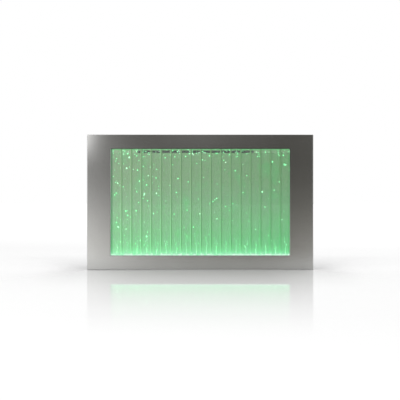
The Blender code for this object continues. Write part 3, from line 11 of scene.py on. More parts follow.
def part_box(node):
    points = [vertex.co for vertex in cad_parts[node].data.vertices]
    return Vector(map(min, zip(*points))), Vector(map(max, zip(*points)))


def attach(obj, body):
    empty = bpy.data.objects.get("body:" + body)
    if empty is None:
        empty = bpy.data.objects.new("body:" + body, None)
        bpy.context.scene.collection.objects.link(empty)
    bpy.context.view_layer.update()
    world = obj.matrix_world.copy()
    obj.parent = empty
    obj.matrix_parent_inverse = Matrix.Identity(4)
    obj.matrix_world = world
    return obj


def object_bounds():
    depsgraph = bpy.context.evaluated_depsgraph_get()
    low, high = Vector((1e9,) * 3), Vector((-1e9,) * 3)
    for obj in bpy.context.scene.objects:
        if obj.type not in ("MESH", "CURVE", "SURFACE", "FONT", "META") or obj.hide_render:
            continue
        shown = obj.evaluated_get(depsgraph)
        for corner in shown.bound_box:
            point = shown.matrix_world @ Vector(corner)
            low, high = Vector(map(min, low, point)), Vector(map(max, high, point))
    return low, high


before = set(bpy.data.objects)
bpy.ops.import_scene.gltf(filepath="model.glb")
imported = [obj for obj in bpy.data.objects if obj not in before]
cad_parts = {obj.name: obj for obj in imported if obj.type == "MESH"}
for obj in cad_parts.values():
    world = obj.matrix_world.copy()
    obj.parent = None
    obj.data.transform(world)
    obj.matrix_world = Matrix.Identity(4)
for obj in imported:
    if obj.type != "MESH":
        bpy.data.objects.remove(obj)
cad_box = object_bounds()

MM = 0.001

# The photograph, in its own pixels, and the view that it was taken from
PICTURE_WIDTH = 400
PIXEL_AT_FACE = 3.1995 * MM
OBJECT_MIDDLE_X = 200.2
OBJECT_MIDDLE_Y = 202.15
CAMERA_DISTANCE = 2.4
SENSOR_WIDTH = 36

# The window and the water
GASKET_WIDTH = 9 * MM
FOLD_WIDTH = 2 * MM
FOLD_SHARP = 0.6
WATER_DROP = 12.5 * MM
WATER_CLEARANCE = 0.15 * MM
WATER_RIPPLE = 1.2 * MM
WATER_STEPS = 7
BEAD_SIZE = 2.0 * MM
BEAD_STEPS = 24
BEAD_TOP_GAP = 2 * MM

# Bubbles and jets
BUBBLE_CLEARANCE = 0.4 * MM
BUBBLE_SIDES = 8
BUSY_CHANNELS = 5
BUSY_COUNT = 22
QUIET_COUNT = 6
SINGLE_SCALE = 0.95
JET_BASE = 0.2 * MM
JET_RINGS = 8
JET_SIDES = 8
JET_BUBBLES = 16
JET_GLOW = 55 * MM
JET_HEIGHTS = (27, 33, 43, 33, 24, 27, 31, 52, 50, 41, 29, 25, 37, 27, 23, 35, 26, 38)
FOAM_ABOVE = 11 * MM
FOAM_BELOW = 13 * MM
FOAMY_CHANNELS = 13
FOAMY_COUNT = 15
FOAM_REST_COUNT = 7

# Fasteners
SCREW_RADIUS = 3.6 * MM
SCREW_HEIGHT = 1.8 * MM
SCREW_SEAT = 0.2 * MM
SCREW_SIDES = 24
RAIL_SCREW_RISE = 6 * MM
HANGER_SHEET = 2 * MM
FOOT_INSET = 6 * MM
STRAP_HOLE = 5 * MM
EAR_HOLE = 7 * MM

# The studio
FLOOR_SIZE = 40
FLOOR_DROP = 0.3 * MM
MIRROR_REACH = 1.2
MIRROR_MARGIN = 0.012
MIRROR_SPREAD = 0.8
SKY_LIGHT = 0.80
CARD_DISTANCE = 0.35
CARD_HALF_WIDTH = 0.62
CARD_RISE = 1.0
SOFTBOXES = (
    ("top_softbox", (0.2, -0.6, 2.2), 1.8, 6),
    ("left_softbox", (-1.9, -1.6, 1.0), 1.2, 5),
    ("rear_softbox", (1.2, 2.0, 1.6), 1.4, 5),
)


def corners(node):
    low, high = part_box(node)
    return Vector(low), Vector(high)


cad_low, cad_high = (Vector(corner) for corner in cad_box)
panel_middle = (cad_low + cad_high) / 2
water_front = corners("front_pane")[1].y
rear_low, rear_high = corners("rear_pane")
manifold_high = corners("air_manifold")[1]
gasket_low, gasket_high = corners("window_gasket")
window_low = gasket_low.z + GASKET_WIDTH
window_high = gasket_high.z - GASKET_WIDTH
window_left = gasket_low.x + GASKET_WIDTH
window_right = gasket_high.x - GASKET_WIDTH
water_back = rear_low.y
water_middle = (water_front + water_back) / 2
water_level = window_high - WATER_DROP


def channel_walls():
    """The inner sides of each water channel: the right face of one wall and the left face of the next."""
    names = ["end_wall_left"] + [f"divider_{number:02d}" for number in range(1, 18)] + ["end_wall_right"]
    walls = [corners(name) for name in names]
    return [(left[1].x, right[0].x) for left, right in zip(walls, walls[1:])]


channels = channel_walls()
channel_pitch = channels[2][0] - channels[1][0]


# Materials

def linear(colour):
    """An sRGB hex colour as the linear one that Blender's sockets take."""
    values = [int(colour[place:place + 2], 16) / 255 for place in (1, 3, 5)]
    return (*(v / 12.92 if v <= 0.04045 else ((v + 0.055) / 1.055) ** 2.4 for v in values), 1.0)


def wire(node, inputs):
    """Sets a node's inputs, found by name or by place, to values, or links them to nodes or sockets."""
    live = [socket for socket in node.inputs if socket.enabled]
    for key, value in inputs.items():
        socket = live[key] if isinstance(key, int) else next(s for s in live if s.name == key)
        if isinstance(value, bpy.types.Node):
            value = next(s for s in value.outputs if s.enabled)
        if isinstance(value, bpy.types.NodeSocket):
            node.id_data.links.new(value, socket)
        elif isinstance(value, str):
            socket.default_value = linear(value)
        else:
            socket.default_value = value


def add(tree, kind, inputs=None, stops=(), **settings):
    """Adds a node with its settings and inputs, and with its colour stops: hex colours or grey levels."""
    node = tree.nodes.new(kind)
    for name, value in settings.items():
        setattr(node, name, value)
    wire(node, inputs or {})
    if stops:
        elements = node.color_ramp.elements
        for place, _ in stops[1:-1]:
            elements.new(place)
        for element, (place, colour) in zip(elements, stops):
            element.position = place
            element.color = linear(colour) if isinstance(colour, str) else (colour, colour, colour, 1)
    return node


def finish(name, **sockets):
    """A new material with one Principled shader, its constants set on the shader's own sockets."""
    material = bpy.data.materials.new(name)
    material.use_nodes = True
    tree = material.node_tree
    shader = tree.nodes["Principled BSDF"]
    wire(shader, {socket.replace("_", " "): value for socket, value in sockets.items()})
    return material, tree, shader


def place_xyz(tree):
    """The point's place on the object, split into X, Y and Z."""
    coords = add(tree, "ShaderNodeTexCoord")
    return add(tree, "ShaderNodeSeparateXYZ", {0: coords.outputs["Object"]}).outputs


def grain(tree, size_mm, stretch=(1, 1, 1), detail=3.0, vector=None):
    """Noise whose lumps have the given size, drawn out along the axes that have a larger stretch."""
    place = vector or add(tree, "ShaderNodeTexCoord").outputs["Object"]
    scale = tuple(1 / (size_mm * MM * along) for along in stretch)
    mapping = add(tree, "ShaderNodeMapping", {"Vector": place, "Scale": scale})
    return add(tree, "ShaderNodeTexNoise", {"Vector": mapping, "Scale": 1.0, "Detail": detail}).outputs[0]


def painted_fold_shade(tree):
    """1 along the fold over the window, and less down its right: the strength of a painted dark line of shade
    on the fold.
    """
    x, _, z = place_xyz(tree)
    above = add(tree, "ShaderNodeMath", {0: z, 1: window_high}, operation="SUBTRACT")
    right = add(tree, "ShaderNodeMath", {0: x, 1: window_right}, operation="SUBTRACT")
    beyond = add(tree, "ShaderNodeMath", {0: above, 1: right}, operation="MAXIMUM")
    away = add(tree, "ShaderNodeMath", {0: beyond}, operation="ABSOLUTE")
    over = add(tree, "ShaderNodeMath", {0: x, 1: window_left}, operation="GREATER_THAN")
    fold_shade_share = add(tree, "ShaderNodeMath", {0: over, 1: light_height(tree, z)}, operation="MULTIPLY")
    return add(tree, "ShaderNodeMapRange", {
        "Value": away, "From Min": FOLD_WIDTH * FOLD_SHARP, "From Max": FOLD_WIDTH,
        "To Min": fold_shade_share, "To Max": 0.0,
    })


def brushed_stainless():
    """Satin 304 sheet, belt-brushed along its length, so that its gloss is soft and cool grey. The real
    scratches are under 0.1 mm wide, and are drawn 0.7 mm wide to show."""
    material, tree, shader = finish("brushed_304_stainless", Metallic=1.0)
    coords = add(tree, "ShaderNodeTexCoord")
    facing = add(tree, "ShaderNodeSeparateXYZ", {0: coords.outputs["Normal"]}).outputs["Z"]
    upward = add(tree, "ShaderNodeMath", {0: facing}, operation="ABSOLUTE")
    across = add(tree, "ShaderNodeMapRange", {"Value": upward, "To Min": 1 / 80, "To Max": 1.0})
    stretch = add(tree, "ShaderNodeCombineXYZ", {"X": 1 / 80, "Y": across, "Z": 1.0})
    drawn = add(tree, "ShaderNodeVectorMath", {0: coords.outputs["Object"], 1: stretch}, operation="MULTIPLY")
    fine = grain(tree, 0.7, vector=drawn, detail=2.0)
    inputs = {"Factor": grain(tree, 70, detail=2.0), 1: "#C2C2C1", 2: "#C9C9C8"}
    shade = add(tree, "ShaderNodeMix", inputs, data_type="RGBA")
    # Painted shade: a dark line along the fold over the window
    shade = add(tree, "ShaderNodeMix", {0: painted_fold_shade(tree), 1: shade, 2: "#5E5F5E"}, data_type="RGBA")
    inputs = {"Value": fine, "From Min": 0.3, "From Max": 0.7, "To Min": 0.19, "To Max": 0.25}
    gloss = add(tree, "ShaderNodeMapRange", inputs)
    scratch = add(tree, "ShaderNodeBump", {"Height": fine, "Distance": 0.01 * MM, "Strength": 0.25})
    wire(shader, {"Base Color": shade, "Roughness": gloss, "Normal": scratch})
    return material


def plated(name, bloom_mm, dark, light, smooth, rough):
    """Metal with a thin bright plating: a mottled bloom that changes both its shade and its gloss."""
    material, tree, shader = finish(name, Metallic=1.0)
    bloom = grain(tree, bloom_mm, detail=4.0)
    shade = add(tree, "ShaderNodeMix", {"Factor": bloom, "A": dark, "B": light}, data_type="RGBA")
    inputs = {"Value": bloom, "From Min": 0.3, "From Max": 0.7, "To Min": smooth, "To Max": rough}
    gloss = add(tree, "ShaderNodeMapRange", inputs)
    pits = add(tree, "ShaderNodeBump", {"Height": grain(tree, 1.2), "Distance": 0.02 * MM, "Strength": 0.3})
    wire(shader, {"Base Color": shade, "Roughness": gloss, "Normal": pits})
    return material


def extruded_aluminium():
    """Aluminium channel as it leaves the die: faint straight lines along its length."""
    material, tree, shader = finish("extruded_aluminium", Metallic=1.0)
    lines = grain(tree, 0.8, stretch=(90, 1, 1))
    shade = add(tree, "ShaderNodeMix", {"Factor": lines, "A": "#BFC1C3", "B": "#CACCCD"}, data_type="RGBA")
    inputs = {"Value": lines, "From Min": 0.3, "From Max": 0.7, "To Min": 0.3, "To Max": 0.46}
    gloss = add(tree, "ShaderNodeMapRange", inputs)
    groove = add(tree, "ShaderNodeBump", {"Height": lines, "Distance": 0.02 * MM, "Strength": 0.3})
    wire(shader, {"Base Color": shade, "Roughness": gloss, "Normal": groove})
    return material


def moulded(name, dark, light, roughness, texture_mm=0.9, depth_mm=0.03, patch_mm=45):
    """Moulded plastic, rubber or baked powder: a fine even texture and a slight change of shade."""
    material, tree, shader = finish(name, IOR=1.5)
    inputs = {"Factor": grain(tree, patch_mm), "A": dark, "B": light}
    shade = add(tree, "ShaderNodeMix", inputs, data_type="RGBA")
    texture = grain(tree, texture_mm)
    inputs = {"Value": texture, "From Min": 0.3, "From Max": 0.7}
    inputs |= {"To Min": roughness - 0.06, "To Max": roughness + 0.06}
    gloss = add(tree, "ShaderNodeMapRange", inputs)
    dimple = add(tree, "ShaderNodeBump", {"Height": texture, "Distance": depth_mm * MM, "Strength": 0.5})
    wire(shader, {"Base Color": shade, "Roughness": gloss, "Normal": dimple})
    return material


def silicone_hose():
    """Extruded silicone hose: milky, soft and a little see-through."""
    material, tree, shader = finish("milky_silicone", Roughness=0.42, IOR=1.41, Transmission_Weight=0.25)
    inputs = {"Factor": grain(tree, 20), "A": "#BFC9C6", "B": "#D2DAD7"}
    shade = add(tree, "ShaderNodeMix", inputs, data_type="RGBA")
    bloom = add(tree, "ShaderNodeBump", {"Height": grain(tree, 1.0), "Distance": 0.02 * MM, "Strength": 0.2})
    wire(shader, {"Base Color": shade, "Normal": bloom})
    return material


def clear_acrylic():
    """Cast acrylic sheet, polished on both faces: clear, a little green through its thickness."""
    material, tree, shader = finish(
        "cast_clear_acrylic", Base_Color="#F4FBF5", Roughness=0.02, IOR=1.49, Transmission_Weight=1.0
    )
    wave = add(tree, "ShaderNodeBump", {
        "Height": grain(tree, 160, detail=1.0), "Distance": 0.02 * MM, "Strength": 0.1,
    })
    wire(shader, {"Normal": wave})
    return material


# How the green light falls off above the lamps, by share of the window's height, with the room's grey light
# painted into it, and the painted side light that is added to it at the window's left and right
GLOW = (
    (0.000, "#A8FCC8"),
    (0.020, "#9EFAC2"),
    (0.035, "#94F1B2"),
    (0.050, "#8AE9A8"),
    (0.075, "#85DE9C"),
    (0.100, "#81D697"),
    (0.190, "#81CB90"),
    (0.380, "#86BC8C"),
    (0.550, "#8AB18A"),
    (0.700, "#88A882"),
    (0.850, "#87A580"),
    (1.000, "#86A881"),
)
LEFT_PALER = (0.080, 0.046, 0.066)
RIGHT_DARKER = (-0.058, -0.052, -0.044)

# How much of that light the strips, the end walls and the cement show, from the foot of the window up: less
# on the strips and end walls, which paints a dark line at each, and more on the cement with its stronger
# glow, which paints a light line beside each strip
STRIP_SHARES = ((0.02, "#E2F2E6"), (0.11, "#A4CFAC"), (1.0, "#AED8B6"))
END_SHARES = ((0.0, "#95C9B1"), (1.0, "#8EB4A8"))
BEAD_SHARES = ((0.02, "#D4DED2"), (0.12, "#EAF4E9"), (1.0, "#DDE6D8"))
# The painted shade and light across a channel, from the left side of one strip to the next: a painted shadow
# at the strip and to its right, and a painted light line just left of the next strip
CHANNEL_SHADE = ((0.0, 0.76), (0.1, 0.84), (0.2, 0.95), (0.32, 1.0), (0.8, 1.0), (0.9, 1.05), (1.0, 1.12))


def light_height(tree, z):
    """0 at the foot of the window and 1 at its top."""
    return add(tree, "ShaderNodeMapRange", {"Value": z, "From Min": window_low, "From Max": window_high})


def lamp_light(tree, x, z):
    """The light that climbs the cell from the lamps: white-green at its foot, with painted room light, paler
    grey on the left and darker on the right.
    """
    glow = add(tree, "ShaderNodeValToRGB", {"Fac": light_height(tree, z)}, stops=GLOW)
    side = add(tree, "ShaderNodeMapRange", {
        "Vector": x, "From Min": (window_left,) * 3, "From Max": (window_right,) * 3,
        "To Min": LEFT_PALER, "To Max": RIGHT_DARKER,
    }, data_type="FLOAT_VECTOR")
    return add(tree, "ShaderNodeVectorMath", {0: glow, 1: side}, operation="ADD")


def edge_lit(name, base, strength, shares, **sockets):
    """Clear acrylic drawn as a face that glows with a share of the lamps' light, which changes with the
    height: painted light and shade in place of the light that shows through it.
    """
    material, tree, shader = finish(name, Base_Color=base, Emission_Strength=strength, **sockets)
    x, _, z = place_xyz(tree)
    share = add(tree, "ShaderNodeValToRGB", {"Fac": light_height(tree, z)}, stops=shares)
    carried = add(tree, "ShaderNodeVectorMath", {0: lamp_light(tree, x, z), 1: share}, operation="MULTIPLY")
    saw = add(tree, "ShaderNodeBump", {
        "Height": grain(tree, 1.5, stretch=(1, 1, 6)), "Distance": 0.03 * MM, "Strength": 0.3,
    })
    wire(shader, {"Emission Color": carried, "Normal": saw})
    return material


def lit_diffuser():
    """Opal acrylic lit from its lower edge: a cloudy green with upright streaks near the lamps. Seen through
    the water, each channel has a painted shadow at its left and a painted light line at its right, and
    painted highlight lines run along the sheet's top and right margins, where the frame's return would mirror
    the green."""
    material, tree, shader = finish(
        "edge_lit_opal_acrylic", Base_Color="#2E3A30", Roughness=0.6, IOR=1.49, Emission_Strength=1.0
    )
    x, _, z = place_xyz(tree)
    height = light_height(tree, z)
    light = lamp_light(tree, x, z)
    behind = 1 + (corners("rear_diffuser")[0].y - water_front) / CAMERA_DISTANCE
    # Painted shade and light across each channel, laid out on the strips' places as seen from the camera's
    # distance, and washed out near the foot of the window
    turns = add(tree, "ShaderNodeMath", {
        0: x, 1: 1 / (behind * channel_pitch), 2: -channels[0][1] / channel_pitch,
    }, operation="MULTIPLY_ADD")
    across = add(tree, "ShaderNodeMath", {0: turns}, operation="FRACT")
    channel = add(tree, "ShaderNodeValToRGB", {"Fac": across}, stops=CHANNEL_SHADE)
    washed = add(tree, "ShaderNodeMapRange", {"Value": height, "From Min": 0.02, "From Max": 0.14})
    channel = add(tree, "ShaderNodeMix", {0: washed, 1: "#FFFFFF", 2: channel}, data_type="RGBA")
    light = add(tree, "ShaderNodeVectorMath", {0: light, 1: channel}, operation="MULTIPLY")
    greener = add(tree, "ShaderNodeMapRange", {
        "Value": grain(tree, 52, stretch=(1, 1, 1.5), detail=2.0),
        "From Min": 0.55, "From Max": 0.68, "To Min": 0.0, "To Max": 1.0,
    })
    light = add(tree, "ShaderNodeMix", {
        0: greener, 1: light, 2: (0.83, 1.17, 0.97, 1),
    }, data_type="RGBA", blend_type="MULTIPLY")
    speckle = add(tree, "ShaderNodeValToRGB", {"Fac": grain(tree, 7, detail=2.0)}, stops=(
        (0.35, "#F2FFF2"), (0.65, "#FFF2FF"),
    ))
    light = add(tree, "ShaderNodeMix", {
        0: 1.0, 1: light, 2: speckle,
    }, data_type="RGBA", blend_type="MULTIPLY")
    depth = add(tree, "ShaderNodeMapRange", {
        "Value": height, "From Max": 0.45, "To Min": 0.22, "To Max": 0.03,
    })
    streak = add(tree, "ShaderNodeMath", {
        0: grain(tree, 2.6, stretch=(1, 1, 60)), 1: 0.5,
    }, operation="SUBTRACT")
    gain = add(tree, "ShaderNodeMath", {0: streak, 1: depth, 2: 1.04}, operation="MULTIPLY_ADD")
    light = add(tree, "ShaderNodeVectorMath", {0: light, "Scale": gain}, operation="SCALE")
    # Painted highlight lines along the sheet's top and right margins, in place of the green that the frame's
    # return mirrors
    top = add(tree, "ShaderNodeMapRange", {
        "Value": z, "From Min": window_high - 2.4 * MM, "From Max": window_high - 1.2 * MM, "To Max": 0.5,
    })
    light = add(tree, "ShaderNodeMix", {0: top, 1: light, 2: "#74EA92"}, data_type="RGBA")
    right = add(tree, "ShaderNodeMapRange", {
        "Value": x, "From Min": window_right, "From Max": window_right + 1 * MM, "To Max": 0.8,
    })
    light = add(tree, "ShaderNodeMix", {0: right, 1: light, 2: "#A6E2AE"}, data_type="RGBA")
    haze = add(tree, "ShaderNodeBump", {"Height": grain(tree, 1.0), "Distance": 0.01 * MM, "Strength": 0.2})
    wire(shader, {"Emission Color": light, "Normal": haze})
    return material


def glowing_manifold():
    """The polished acrylic bar over the lamps: it carries their light, so its top edge is nearly white."""
    material, tree, shader = finish(
        "light_carrying_acrylic_bar", Base_Color="#33463A", Roughness=0.15, IOR=1.49, Emission_Strength=1.0
    )
    patches = grain(tree, 11, stretch=(1, 4, 4))
    light = add(tree, "ShaderNodeValToRGB", {"Fac": patches}, stops=(
        (0.35, "#9CF8BE"), (0.5, "#C0FCD8"), (0.66, "#E4FFF0"),
    ))
    polish = add(tree, "ShaderNodeBump", {"Height": patches, "Distance": 0.02 * MM, "Strength": 0.2})
    wire(shader, {"Emission Color": light, "Normal": polish})
    return material


def still_water():
    """Clean water against acrylic: it bends light hardly more than the panes do, so its faces are quiet."""
    material, tree, shader = finish(
        "still_water", Base_Color="#EFFAF2", Roughness=0.0, IOR=1.12, Transmission_Weight=1.0
    )
    stir = add(tree, "ShaderNodeBump", {
        "Height": grain(tree, 9, stretch=(1, 1, 3)), "Distance": 0.15 * MM, "Strength": 0.25,
    })
    wire(shader, {"Normal": stir})
    return material


def air_bubble():
    """Air in water, lit green from below: a bead with a darker rim, mint green and here and there white."""
    material, tree, shader = finish(
        "air_bubble", Base_Color="#EFFFF4", Roughness=0.03, IOR=1.33, Transmission_Weight=1.0,
        Emission_Strength=0.8,
    )
    facing = add(tree, "ShaderNodeLayerWeight", {"Blend": 0.45}).outputs["Facing"]
    rim = add(tree, "ShaderNodeValToRGB", {"Fac": facing}, stops=((0.0, 1.0), (0.6, 0.8), (1.0, 0.25)))
    lit = add(tree, "ShaderNodeValToRGB", {"Fac": grain(tree, 12, detail=1.0)}, stops=(
        (0.34, "#58C482"), (0.46, "#70E09A"), (0.58, "#90F2B2"), (0.68, "#E8FFF2"),
    ))
    light = add(tree, "ShaderNodeMix", {0: 1.0, 1: lit, 2: rim}, data_type="RGBA", blend_type="MULTIPLY")
    dent = add(tree, "ShaderNodeBump", {"Height": grain(tree, 1.5), "Distance": 0.1 * MM, "Strength": 0.3})
    wire(shader, {"Emission Color": light, "Normal": dent})
    return material


def aerated_water():
    """The stream at a jet's mouth: air and water mixed so finely that it scatters light, paler lower down."""
    material, tree, shader = finish(
        "aerated_water", Base_Color="#5A7A64", Roughness=0.4, IOR=1.33, Transmission_Weight=0.5,
        Emission_Strength=0.85,
    )
    z = place_xyz(tree)["Z"]
    rise = add(tree, "ShaderNodeMapRange", {
        "Value": z, "From Min": manifold_high.z, "From Max": manifold_high.z + JET_GLOW,
    })
    light = add(tree, "ShaderNodeValToRGB", {"Fac": rise}, stops=(
        (0.0, "#D2FFE2"), (0.25, "#ACF4C4"), (0.6, "#90E2A8"), (1.0, "#84D296"),
    ))
    froth = grain(tree, 1.6, stretch=(1, 1, 4))
    level = add(tree, "ShaderNodeMapRange", {
        "Value": froth, "From Min": 0.3, "From Max": 0.7, "To Min": 0.75, "To Max": 1.1,
    })
    light = add(tree, "ShaderNodeVectorMath", {0: light, "Scale": level}, operation="SCALE")
    jet = add(tree, "ShaderNodeMapRange", {
        "Value": grain(tree, 34, stretch=(1, 20, 20), detail=0.0),
        "From Min": 0.35, "From Max": 0.65, "To Min": 0.68, "To Max": 1.12,
    })
    light = add(tree, "ShaderNodeVectorMath", {0: light, "Scale": jet}, operation="SCALE")
    churn = add(tree, "ShaderNodeBump", {"Height": froth, "Distance": 0.3 * MM, "Strength": 0.5})
    wire(shader, {"Emission Color": light, "Normal": churn})
    return material


def lamp_glow(name, colour, strength):
    """A face that sends out the lamps' green: LED packages or the opal lens over them."""
    material, tree, shader = finish(
        name, Base_Color="#C2D4C6", Roughness=0.5, IOR=1.49, Emission_Color=colour, Emission_Strength=strength
    )
    haze = add(tree, "ShaderNodeBump", {"Height": grain(tree, 1.0), "Distance": 0.02 * MM, "Strength": 0.2})
    wire(shader, {"Normal": haze})
    return material


def dress_solids(zinc):
    """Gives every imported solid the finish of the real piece."""
    stainless = brushed_stainless()
    acrylic = clear_acrylic()
    rubber = moulded("black_epdm_rubber", "#161617", "#1C1C1D", 0.75, texture_mm=1.4, depth_mm=0.05)
    black_abs = moulded("black_abs", "#141415", "#1B1B1C", 0.45)
    white_abs = moulded("white_abs", "#DCDCD8", "#E4E4E0", 0.42)
    nickel = plated("nickel_plated_brass", 8, "#B5AEA1", "#C6C0B5", 0.18, 0.32)
    hose = silicone_hose()
    finishes = (
        ("front_frame", stainless),
        ("refill_lid", stainless),
        ("back_tray", moulded("grey_powder_coat", "#47484A", "#4F5052", 0.55, 1.6, 0.05, patch_mm=90)),
        ("frame_bracket", zinc),
        ("hanger_rail", zinc),
        ("wall_rail", zinc),
        ("cell_rail", zinc),
        ("lid_hinge_pin", zinc),
        ("pump_strap", zinc),
        ("front_pane", acrylic),
        ("rear_pane", acrylic),
        ("divider", edge_lit("cemented_acrylic_strip", "#0E1810", 1.0, STRIP_SHARES, Roughness=0.3)),
        # Clear acrylic end walls drawn as a dim glow: a painted dark line
        ("end_wall", edge_lit("acrylic_end_wall_painted_shade", "#16241A", 1.0, END_SHARES, Roughness=0.3)),
        ("air_manifold", glowing_manifold()),
        ("rear_diffuser", lit_diffuser()),
        ("led_lens", lamp_glow("lit_opal_lens", "#8CFFB0", 0.8)),
        ("led_strip", lamp_glow("lit_led_strip", "#B4FFC8", 1.0)),
        ("led_channel", extruded_aluminium()),
        ("window_gasket", rubber),
        ("cell_pad", rubber),
        ("wall_bumper", rubber),
        ("wiring_loom", rubber),
        ("filler_trough", moulded("grey_polypropylene", "#9EA0A2", "#A7A9AB", 0.5)),
        ("led_lead", white_abs),
        ("power_driver", white_abs),
        ("check_valve", white_abs),
        ("air_pump", black_abs),
        ("air_knob", black_abs),
        ("drain_lever", black_abs),
        ("switch_body", black_abs),
        ("power_rocker", black_abs),
        ("power_gland", black_abs),
        ("air_valve_body", nickel),
        ("drain_valve_body", nickel),
        ("upper_air_hose", hose),
        ("lower_air_hose", hose),
        ("manifold_hose", hose),
    )
    for name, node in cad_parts.items():
        material = next(material for start, material in finishes if name.startswith(start))
        for place in node.material_slots:
            place.material = material


# New pieces

def pour(bm, part):
    """Adds a finished mesh to another one and frees it."""
    mesh = bpy.data.meshes.new("part")
    part.to_mesh(mesh)
    part.free()
    bm.from_mesh(mesh)
    bpy.data.meshes.remove(mesh)


def made(name, bm, material, smooth=True):
    """An object of the mesh, at the origin."""
    mesh = bpy.data.meshes.new(name)
    bm.to_mesh(mesh)
    bm.free()
    if smooth:
        mesh.shade_smooth()
    mesh.materials.append(material)
    item = bpy.data.objects.new(name, mesh)
    bpy.context.scene.collection.objects.link(item)
    return item


def piece(name, bm, material, smooth=True):
    """A finished piece that rides on the panel."""
    item = made(name, bm, material, smooth)
    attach(item, "panel")


def turned(profile, sides):
    """A closed shape spun about the upright axis from its radius and height pairs."""
    bm = bmesh.new()
    verts = [bm.verts.new((radius, 0, z)) for radius, z in profile]
    edges = [bm.edges.new(pair) for pair in zip(verts, verts[1:])]
    bmesh.ops.spin(
        bm, geom=verts + edges, cent=(0, 0, 0), axis=(0, 0, 1), angle=2 * pi, steps=sides, use_merge=True
    )
    bmesh.ops.remove_doubles(bm, verts=bm.verts, dist=0.001 * MM)
    bmesh.ops.recalc_face_normals(bm, faces=bm.faces)
    return bm


def make_water():
    """The water in each channel, with a rippled surface that climbs a little at the walls."""
    chance = Random(11)
    bm = bmesh.new()
    low = manifold_high.z + WATER_CLEARANCE
    depth = water_back - water_front - 2 * WATER_CLEARANCE
    for left, right in channels:
        width = right - left - 2 * WATER_CLEARANCE
        middle = Vector(((left + right) / 2, water_middle, (water_level + low) / 2))
        size = Matrix.Diagonal((width, depth, water_level - low, 1))
        block = bmesh.new()
        bmesh.ops.create_cube(block, size=1, matrix=Matrix.Translation(middle) @ size)
        across = [edge for edge in block.edges if abs(edge.verts[1].co.x - edge.verts[0].co.x) > width / 2]
        bmesh.ops.subdivide_edges(block, edges=across, cuts=WATER_STEPS)
        for vert in block.verts:
            if vert.co.z > middle.z:
                wall = abs(vert.co.x - middle.x) > (width - WATER_CLEARANCE) / 2
                vert.co.z += WATER_RIPPLE * (1 if wall else chance.random() - 0.5)
        bmesh.ops.recalc_face_normals(block, faces=block.faces)
        pour(bm, block)
    piece("water", bm, still_water(), smooth=False)


def make_cement_beads():
    """The cement in the corner between the front pane and the left side of each strip, closed at both
    ends: each step leaves its starting face inside, so that face goes, all but the first."""
    chance = Random(7)
    bm = bmesh.new()
    low = manifold_high.z + 2 * WATER_CLEARANCE
    rise = (rear_high.z - BEAD_TOP_GAP - low) / BEAD_STEPS
    for number in range(1, len(channels)):
        corner = Vector((channels[number - 1][1] - WATER_CLEARANCE, water_front + WATER_CLEARANCE, low))
        bead = bmesh.new()
        outline = ((0, 0), (-1, 0), (-0.4, 0.4), (0, 1))
        verts = [bead.verts.new(corner + Vector((x, y, 0)) * BEAD_SIZE) for x, y in outline]
        face = bmesh.ops.contextual_create(bead, geom=verts)["faces"][0]
        width = 1.0
        for step in range(BEAD_STEPS):
            under = face
            grown = bmesh.ops.extrude_face_region(bead, geom=[face])["geom"]
            face = next(item for item in grown if isinstance(item, bmesh.types.BMFace))
            if step:
                bmesh.ops.delete(bead, geom=[under], context="FACES_ONLY")
            wanted = 0.94 + 0.12 * chance.random()
            size = (wanted / width, wanted / width, 1)
            bmesh.ops.scale(bead, vec=size, space=Matrix.Translation(-corner), verts=face.verts)
            bmesh.ops.translate(bead, vec=(0, 0, rise), verts=face.verts)
            width = wanted
        bmesh.ops.recalc_face_normals(bead, faces=bead.faces)
        pour(bm, bead)
    # The beads glow more than the light behind them: a painted light line beside each strip
    cement = edge_lit("acrylic_cement_bead", "#1E2A20", 1.42, BEAD_SHARES, Roughness=0.25)
    piece("cement_beads", bm, cement)


def add_bubble(bm, centre, radius, tall=0.9, sides=BUBBLE_SIDES):
    """One bubble: flattened where it rises slowly, drawn out where it rises fast."""
    place = Matrix.Translation(centre) @ Matrix.Diagonal((radius, radius, radius * tall, 1))
    bmesh.ops.create_uvsphere(bm, u_segments=sides, v_segments=sides - 2, radius=1, matrix=place)


def bubble_place(chance, channel, radius, wanted_x, z):
    """The wanted place kept inside a channel, at any depth between the panes."""
    inset = radius + 2 * BUBBLE_CLEARANCE
    x = min(max(wanted_x, channel[0] + inset), channel[1] - inset)
    room = (water_back - water_front) / 2 - inset
    return Vector((x, water_middle + room * (2 * chance.random() - 1), z))


def within(chance, channel):
    return channel[0] + (channel[1] - channel[0]) * chance.random()


